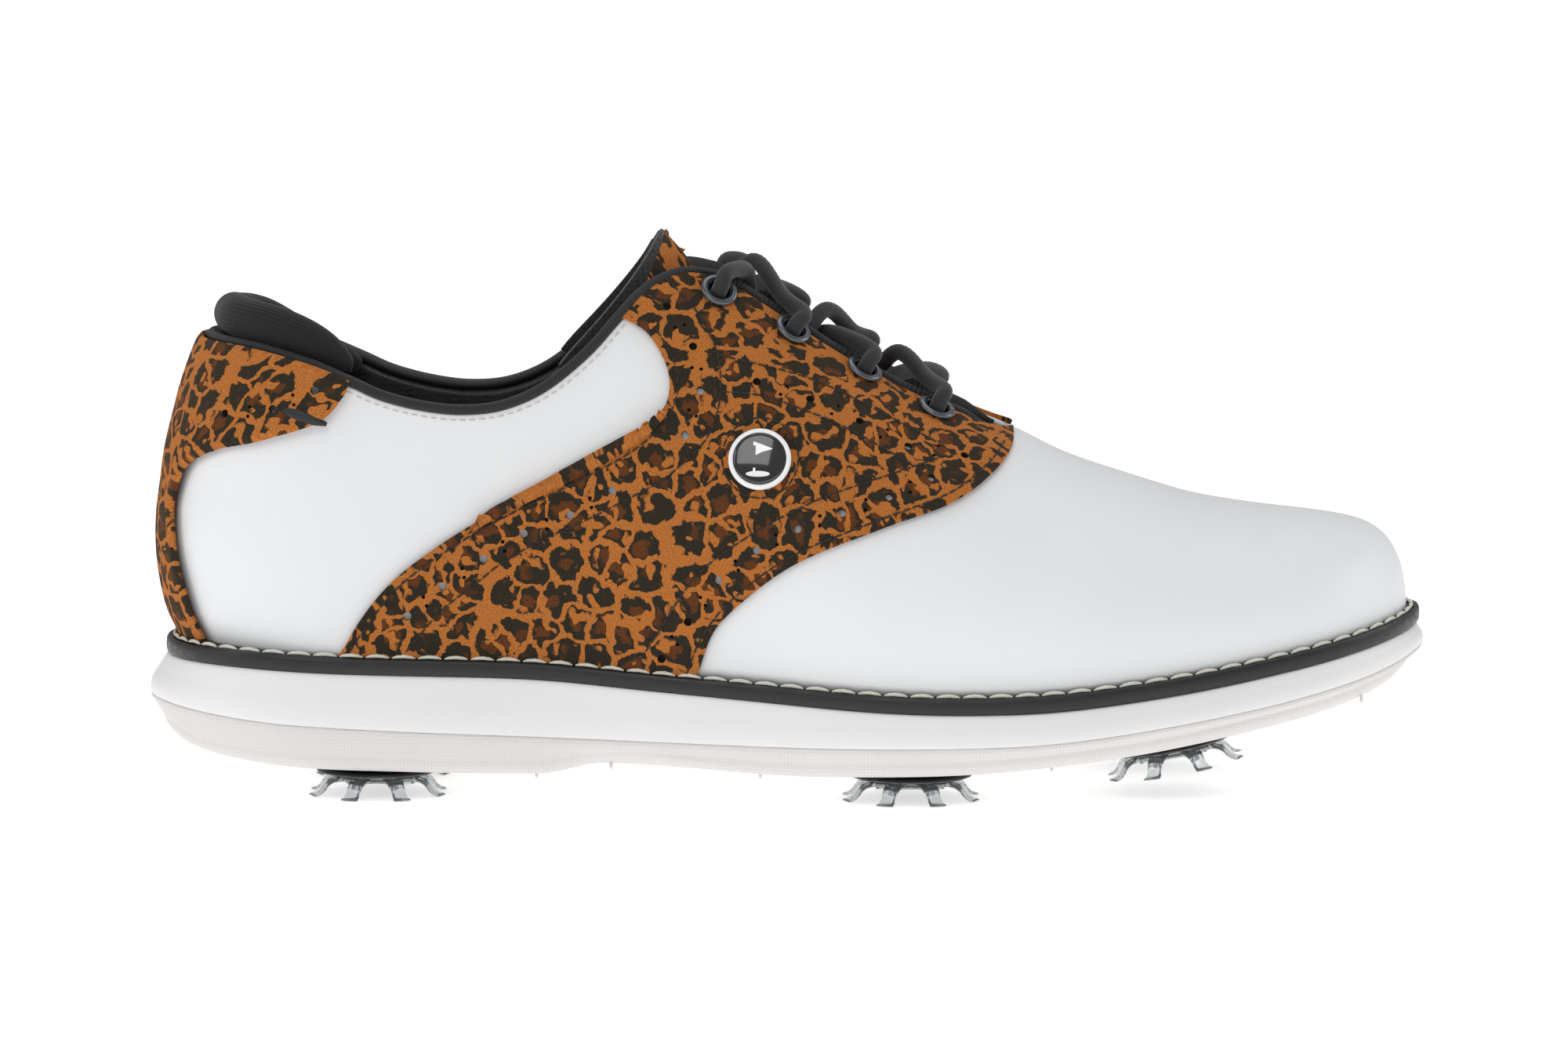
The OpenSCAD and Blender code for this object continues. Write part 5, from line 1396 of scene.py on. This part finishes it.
# ---- Badge ----
# A small domed badge riveted through the saddle: a white enamelled rim, a glossy black centre
# and a plain golf flag in white.
badge_frame = Matrix.Scale(0.001, 4) @ surface_frame(badge_place, lateral)
badge_seat = suede_out + 0.2


def spun_piece(name, outline, steps, frame_matrix, material, stands_for, sharp=50):
    bm = bmesh.new()
    vs = [bm.verts.new((r, 0, h)) for r, h in outline]
    closed = outline[0][0] > 1e-6
    pairs = list(zip(vs[:-1], vs[1:])) + ([(vs[-1], vs[0])] if closed else [])
    es = [bm.edges.new(pair) for pair in pairs]
    bmesh.ops.spin(bm, geom=vs + es, cent=(0, 0, 0), axis=(0, 0, 1), angle=2 * math.pi,
                   steps=steps, use_merge=True)
    bmesh.ops.remove_doubles(bm, verts=bm.verts, dist=1e-5)
    bmesh.ops.recalc_face_normals(bm, faces=bm.faces)
    bmesh.ops.transform(bm, matrix=frame_matrix, verts=bm.verts)
    return make_piece(name, bm, "root", material, stands_for, sharp=sharp)


# Fired enamel: pure white with a clear glassy surface.
white_enamel, tree = new_material("white_enamel")
coords = add_node(tree, "ShaderNodeTexCoord")
wave = add_node(tree, "ShaderNodeTexNoise", {"Vector": coords.outputs["Object"], "Scale": 400.0})
tone = add_node(tree, "ShaderNodeMix", {"Factor": wave.outputs[0], "A": linear("#E9EAEB"),
                                        "B": linear("#F3F4F4")}, data_type="RGBA")
finish_material(tree, add_node(tree, "ShaderNodeBsdfPrincipled", {
    "Base Color": tone.outputs["Result"], "Roughness": 0.22, "Coat Weight": 0.6,
    "Coat Roughness": 0.05}))
spun_piece("badge_rim", [(5.75, badge_seat), (6.7, badge_seat), (6.85, badge_seat + 0.35),
                         (6.75, badge_seat + 0.75), (6.45, badge_seat + 1.05),
                         (6.1, badge_seat + 1.1), (5.8, badge_seat + 0.95)],
           64, badge_frame, white_enamel, ["badge_bezel"])
# Poured resin over black: deep gloss with a faint smoky cloud.
black_enamel, tree = new_material("domed_black_enamel")
coords = add_node(tree, "ShaderNodeTexCoord")
smoke = add_node(tree, "ShaderNodeTexNoise", {"Vector": coords.outputs["Object"], "Scale": 350.0,
                                              "Detail": 3.0})
tone = add_node(tree, "ShaderNodeMix", {"Factor": smoke.outputs[0], "A": linear("#060607"),
                                        "B": linear("#141518")}, data_type="RGBA")
finish_material(tree, add_node(tree, "ShaderNodeBsdfPrincipled", {
    "Base Color": tone.outputs["Result"], "Roughness": 0.12, "Coat Weight": 1.0,
    "Coat Roughness": 0.03}))
dome = [(5.72, badge_seat), (5.72, badge_seat + 0.85)]
dome_r = 26.0
for r in (5.5, 5, 4.3, 3.5, 2.6, 1.7, 0.8, 0.0):
    dome.append((r, badge_seat + 1.66 - (dome_r - math.sqrt(dome_r**2 - r**2))))
spun_piece("badge_dome", [(0.0, badge_seat)] + dome, 64, badge_frame, black_enamel,
           ["badge_enamel"], sharp=60)
bm = bmesh.new()
top = badge_seat + 1.66


def on_dome(x, y, lift):
    return (x, y, top - (dome_r - math.sqrt(dome_r**2 - x * x - y * y)) + lift)


def flat_shape(bm, outline, lift=0.09):
    """A thin printed shape that follows the dome."""
    low = [bm.verts.new(on_dome(x, y, -0.15)) for x, y in outline]
    face = bm.faces.new(low)
    grown = bmesh.ops.extrude_face_region(bm, geom=[face])
    for v in grown["geom"]:
        if isinstance(v, bmesh.types.BMVert):
            v.co = on_dome(v.co.x, v.co.y, lift)


flat_shape(bm, [(-1.35, -3.0), (-0.85, -3.0), (-0.85, 3.6), (-1.35, 3.6)])
flat_shape(bm, [(-0.83, 3.5), (-0.83, 0.6), (0.6, 1.3), (2.9, 2.05), (0.8, 2.9)])
flat_shape(bm, [(2.6 * math.cos(a) - 0.3, 0.62 * math.sin(a) - 3.5)
                for a in np.linspace(0, 2 * math.pi, 28)[:-1]])
bmesh.ops.recalc_face_normals(bm, faces=bm.faces)
bmesh.ops.transform(bm, matrix=badge_frame, verts=bm.verts)
make_piece("badge_flag", bm, "root", white_enamel, ["badge_emblem"], sharp=30)

# ---- Footbed ----
# A removable foam insole under a brushed black textile, its rim pressed up against the lining.
# Brushed textile: a fine plain weave at 0.6 mm with a soft nap.
brushed, tree = new_material("brushed_textile")
coords = add_node(tree, "ShaderNodeTexCoord")
nap = add_node(tree, "ShaderNodeTexNoise", {"Vector": coords.outputs["Object"],
                                            "Scale": 1700.0, "Detail": 3.0})
tone = add_node(tree, "ShaderNodeMix", {"Factor": nap.outputs[0], "A": linear("#141416"),
                                        "B": linear("#2E2E31")}, data_type="RGBA")
finish_material(tree, add_node(tree, "ShaderNodeBsdfPrincipled", {
    "Base Color": tone.outputs["Result"], "Roughness": 0.95,
    "Normal": add_node(tree, "ShaderNodeBump", {
        "Strength": 0.4, "Distance": 0.0002, "Height": nap.outputs[0]}).outputs[0]}))
footbed_turn = 2 * np.pi * np.linspace(0, 1, 161)[:-1]
footbed_x = -134.5 + (138.5 + 134.5) * (1 - np.cos(footbed_turn)) / 2
footbed_side = np.where(footbed_turn < np.pi, lateral, medial)


def footbed_ring(off, lift):
    ring = last_point(footbed_x, feather_z(footbed_x), np.zeros(len(footbed_x)), footbed_side, off)
    ring[:, 2] += lift
    return ring


footbed_rings = [footbed_ring(-4.1, 0.15), footbed_ring(-4.15, 3.4), footbed_ring(-4.5, 3.9),
                 footbed_ring(-5.3, 4.0), footbed_ring(-7.5, 3.6), footbed_ring(-12, 3.5),
                 footbed_ring(-20, 3.5)]
bm = bmesh.new()
rings = [[bm.verts.new(p * 0.001) for p in ring] for ring in footbed_rings]
for a, b in zip(rings[:-1], rings[1:]):
    for k in range(len(a)):
        bm.faces.new((a[k], a[(k + 1) % len(a)], b[(k + 1) % len(a)], b[k]))
bm.faces.new(rings[0])
bm.faces.new(rings[-1])
bmesh.ops.remove_doubles(bm, verts=bm.verts, dist=1e-5)
bmesh.ops.recalc_face_normals(bm, faces=bm.faces)
footbed = make_piece("brushed_footbed", bm, "root", brushed, ["sockliner"],
                     sharp=50)

# ---- Cleats ----
# Six soft cleats. The hub is a thin black lens with its stud and lugs in a receptacle; under it
# a clear ring sends out eight sprung legs with flared feet.
# Nylon with glass fibre: black, a little silky.
nylon, tree = new_material("black_nylon")
coords = add_node(tree, "ShaderNodeTexCoord")
fleck = add_node(tree, "ShaderNodeTexNoise", {"Vector": coords.outputs["Object"],
                                              "Scale": 2200.0, "Detail": 2.0})
gloss = add_node(tree, "ShaderNodeMapRange", {0: fleck.outputs[0], 1: 0.3, 2: 0.7, 3: 0.3,
                                              4: 0.5})
finish_material(tree, add_node(tree, "ShaderNodeBsdfPrincipled", {
    "Base Color": linear("#0E0E10"), "Roughness": gloss.outputs[0]}))
# Clear polyurethane: water clear in thin legs, a cool grey where it is deep.
clear, tree = new_material("clear_polyurethane")
coords = add_node(tree, "ShaderNodeTexCoord")
flow = add_node(tree, "ShaderNodeTexNoise", {"Vector": coords.outputs["Object"], "Scale": 260.0,
                                             "Detail": 2.0})
tone = add_node(tree, "ShaderNodeMix", {"Factor": flow.outputs[0], "A": linear("#CFD5D8"),
                                        "B": linear("#EEF1F2")}, data_type="RGBA")
finish_material(tree, add_node(tree, "ShaderNodeBsdfPrincipled", {
    "Base Color": tone.outputs["Result"], "Roughness": 0.06, "IOR": 1.47,
    "Transmission Weight": 0.92,
    "Normal": add_node(tree, "ShaderNodeBump", {
        "Strength": 0.12, "Distance": 0.0004, "Height": flow.outputs[0]}).outputs[0]}))

# One leg as rings of points along its curve: radius and height, half width, half thickness
leg_rings = [(6.9, 3.75, 2.3, 0.6), (9.6, 3.7, 2.25, 0.62), (11.1, 3.4, 2.05, 0.62),
             (12.2, 2.6, 1.75, 0.6), (12.9, 1.6, 1.6, 0.58), (13.6, 0.85, 1.75, 0.48),
             (14.6, 0.45, 2.1, 0.38), (15.5, 0.38, 2.3, 0.3)]
bm = bmesh.new()
curve = np.array([(r, z) for r, z, w, t in leg_rings])
leg_way = np.gradient(curve, axis=0)
leg_way /= np.linalg.norm(leg_way, axis=1)[:, None]
for leg in range(8):
    turned = Matrix.Rotation(math.radians((leg + 0.5) * 45), 4, "Z")
    rings = []
    for (r, z, w, t), (way_r, way_z) in zip(leg_rings, leg_way):
        ring = []
        for k in range(16):
            c, s = math.cos(k * math.pi / 8), math.sin(k * math.pi / 8)
            across = w * math.copysign(abs(c) ** 0.7, c)
            up = t * math.copysign(abs(s) ** 0.7, s)
            point = Vector((r - way_z * up, across, z + way_r * up))
            ring.append(bm.verts.new((turned @ point) * 0.001))
        rings.append(ring)
    for a, b in zip(rings[:-1], rings[1:]):
        for k in range(16):
            bm.faces.new((a[k], a[(k + 1) % 16], b[(k + 1) % 16], b[k]))
    bm.faces.new(rings[0])
    bm.faces.new(rings[-1][::-1])
outline = [(2.6, 3.15), (8.9, 3.15), (9.2, 3.5), (9.2, 4.1), (8.8, 4.35), (2.6, 4.35)]
vs = [bm.verts.new((r * 0.001, 0, z * 0.001)) for r, z in outline]
es = [bm.edges.new((vs[k], vs[(k + 1) % 6])) for k in range(6)]
bmesh.ops.spin(bm, geom=vs + es, cent=(0, 0, 0), axis=(0, 0, 1), angle=2 * math.pi, steps=48,
               use_merge=True)
bmesh.ops.remove_doubles(bm, verts=bm.verts, dist=1e-7)
bmesh.ops.recalc_face_normals(bm, faces=bm.faces)
raw = bpy.data.meshes.new("cleat_raw")
bm.to_mesh(raw)
bm.free()
moulded = bpy.data.objects.new("cleat_raw", raw)
scene.collection.objects.link(moulded)
melt = moulded.modifiers.new("melt", "REMESH")
melt.mode = "VOXEL"
melt.voxel_size = 0.00033
soften = moulded.modifiers.new("soften", "SMOOTH")
soften.factor = 0.6
soften.iterations = 5
settled(moulded)
hub_outline = [(0.0, 4.45), (8.8, 4.55), (12.6, 4.95), (13.25, 5.2), (13.4, 5.45),
               (13.2, 5.65), (12.6, 5.78), (8.0, 5.88), (4.35, 5.88), (4.35, 9.6), (4.0, 10.3),
               (0.0, 10.4)]
for k in range(6):
    bm = bmesh.new()
    bm.from_mesh(moulded.data)
    stand = (Matrix.Scale(0.001, 4) @ cleat_frame(k)) @ Matrix.Scale(1000, 4)
    bmesh.ops.transform(bm, matrix=stand, verts=bm.verts)
    make_piece(f"clear_legs_{k + 1}", bm, f"cleat_{k + 1}", clear,
               [f"cleat_{k + 1}_legs"], sharp=0)
    bm = bmesh.new()
    vs = [bm.verts.new((r, 0, z)) for r, z in hub_outline]
    es = [bm.edges.new(pair) for pair in zip(vs[:-1], vs[1:])]
    bmesh.ops.spin(bm, geom=vs + es, cent=(0, 0, 0), axis=(0, 0, 1), angle=2 * math.pi,
                   steps=64, use_merge=True)
    bmesh.ops.remove_doubles(bm, verts=bm.verts, dist=1e-4)
    bmesh.ops.recalc_face_normals(bm, faces=bm.faces)
    bmesh.ops.transform(bm, matrix=Matrix.Scale(0.001, 4) @ cleat_frame(k), verts=bm.verts)
    make_piece(f"moulded_hub_{k + 1}", bm, f"cleat_{k + 1}", nylon,
               [f"cleat_{k + 1}_hub"], sharp=35)
bpy.data.objects.remove(moulded)

# ---- Inner parts ----
# The parts between lining, insole and outsole keep their plain shapes; each has its own material.
inner_looks = (
    # Spring steel, ground and blued: shank and rivet
    ("blued_steel", ("shank", "badge_rivet"), "#5A6068", "#8B9096", 500.0, 0.32, 1.0),
    # Granulated cork in a dark binder
    ("granulated_cork", ("bottom_filler",), "#6B4426", "#B98A58", 700.0, 0.9, 0.0),
    # Pressed cellulose board
    ("cellulose_board", ("insole_board",), "#A89672", "#CDBD9A", 900.0, 0.9, 0.0),
    # Thermoplastic sheet of the stiffeners
    ("stiffener_sheet", ("heel_counter", "toe_puff"), "#B9B4A6", "#D6D1C4", 600.0, 0.7, 0.0),
    # Black mesh backed with a thin scrim
    ("scrim_backed_mesh", ("vamp_lining",), "#101012", "#26262A", 1300.0, 0.92, 0.0),
    # Black japanned steel washers
    ("japanned_steel", ("eyelet_washers_lateral", "eyelet_washers_medial"), "#0D0D0F", "#1E1F22",
     900.0, 0.35, 0.6),
    # Glass-filled nylon of the receptacles
    ("glass_filled_nylon", ("cleat_receptacles",), "#121214", "#2A2A2E", 1500.0, 0.55, 0.0),
    # Clear lacquered film of the lace ends, black beneath
    ("lacquered_film", ("aglets",), "#0B0B0C", "#1A1A1C", 700.0, 0.2, 0.0))
for name, parts, dark, light, scale, rough, metal in inner_looks:
    material, tree = new_material(name)
    coords = add_node(tree, "ShaderNodeTexCoord")
    cloud = add_node(tree, "ShaderNodeTexNoise", {"Vector": coords.outputs["Object"],
                                                  "Scale": scale, "Detail": 4.0})
    level = add_node(tree, "ShaderNodeMapRange", {0: cloud.outputs[0], 1: 0.35, 2: 0.65, 3: 0.0,
                                                  4: 1.0})
    tone = add_node(tree, "ShaderNodeMix", {"Factor": level.outputs[0], "A": linear(dark),
                                            "B": linear(light)}, data_type="RGBA")
    finish_material(tree, add_node(tree, "ShaderNodeBsdfPrincipled", {
        "Base Color": tone.outputs["Result"], "Roughness": rough, "Metallic": metal,
        "Normal": add_node(tree, "ShaderNodeBump", {
            "Strength": 0.2, "Distance": 0.0002, "Height": cloud.outputs[0]}).outputs[0]}))
    for part in parts:
        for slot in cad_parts[part].material_slots:
            slot.material = material
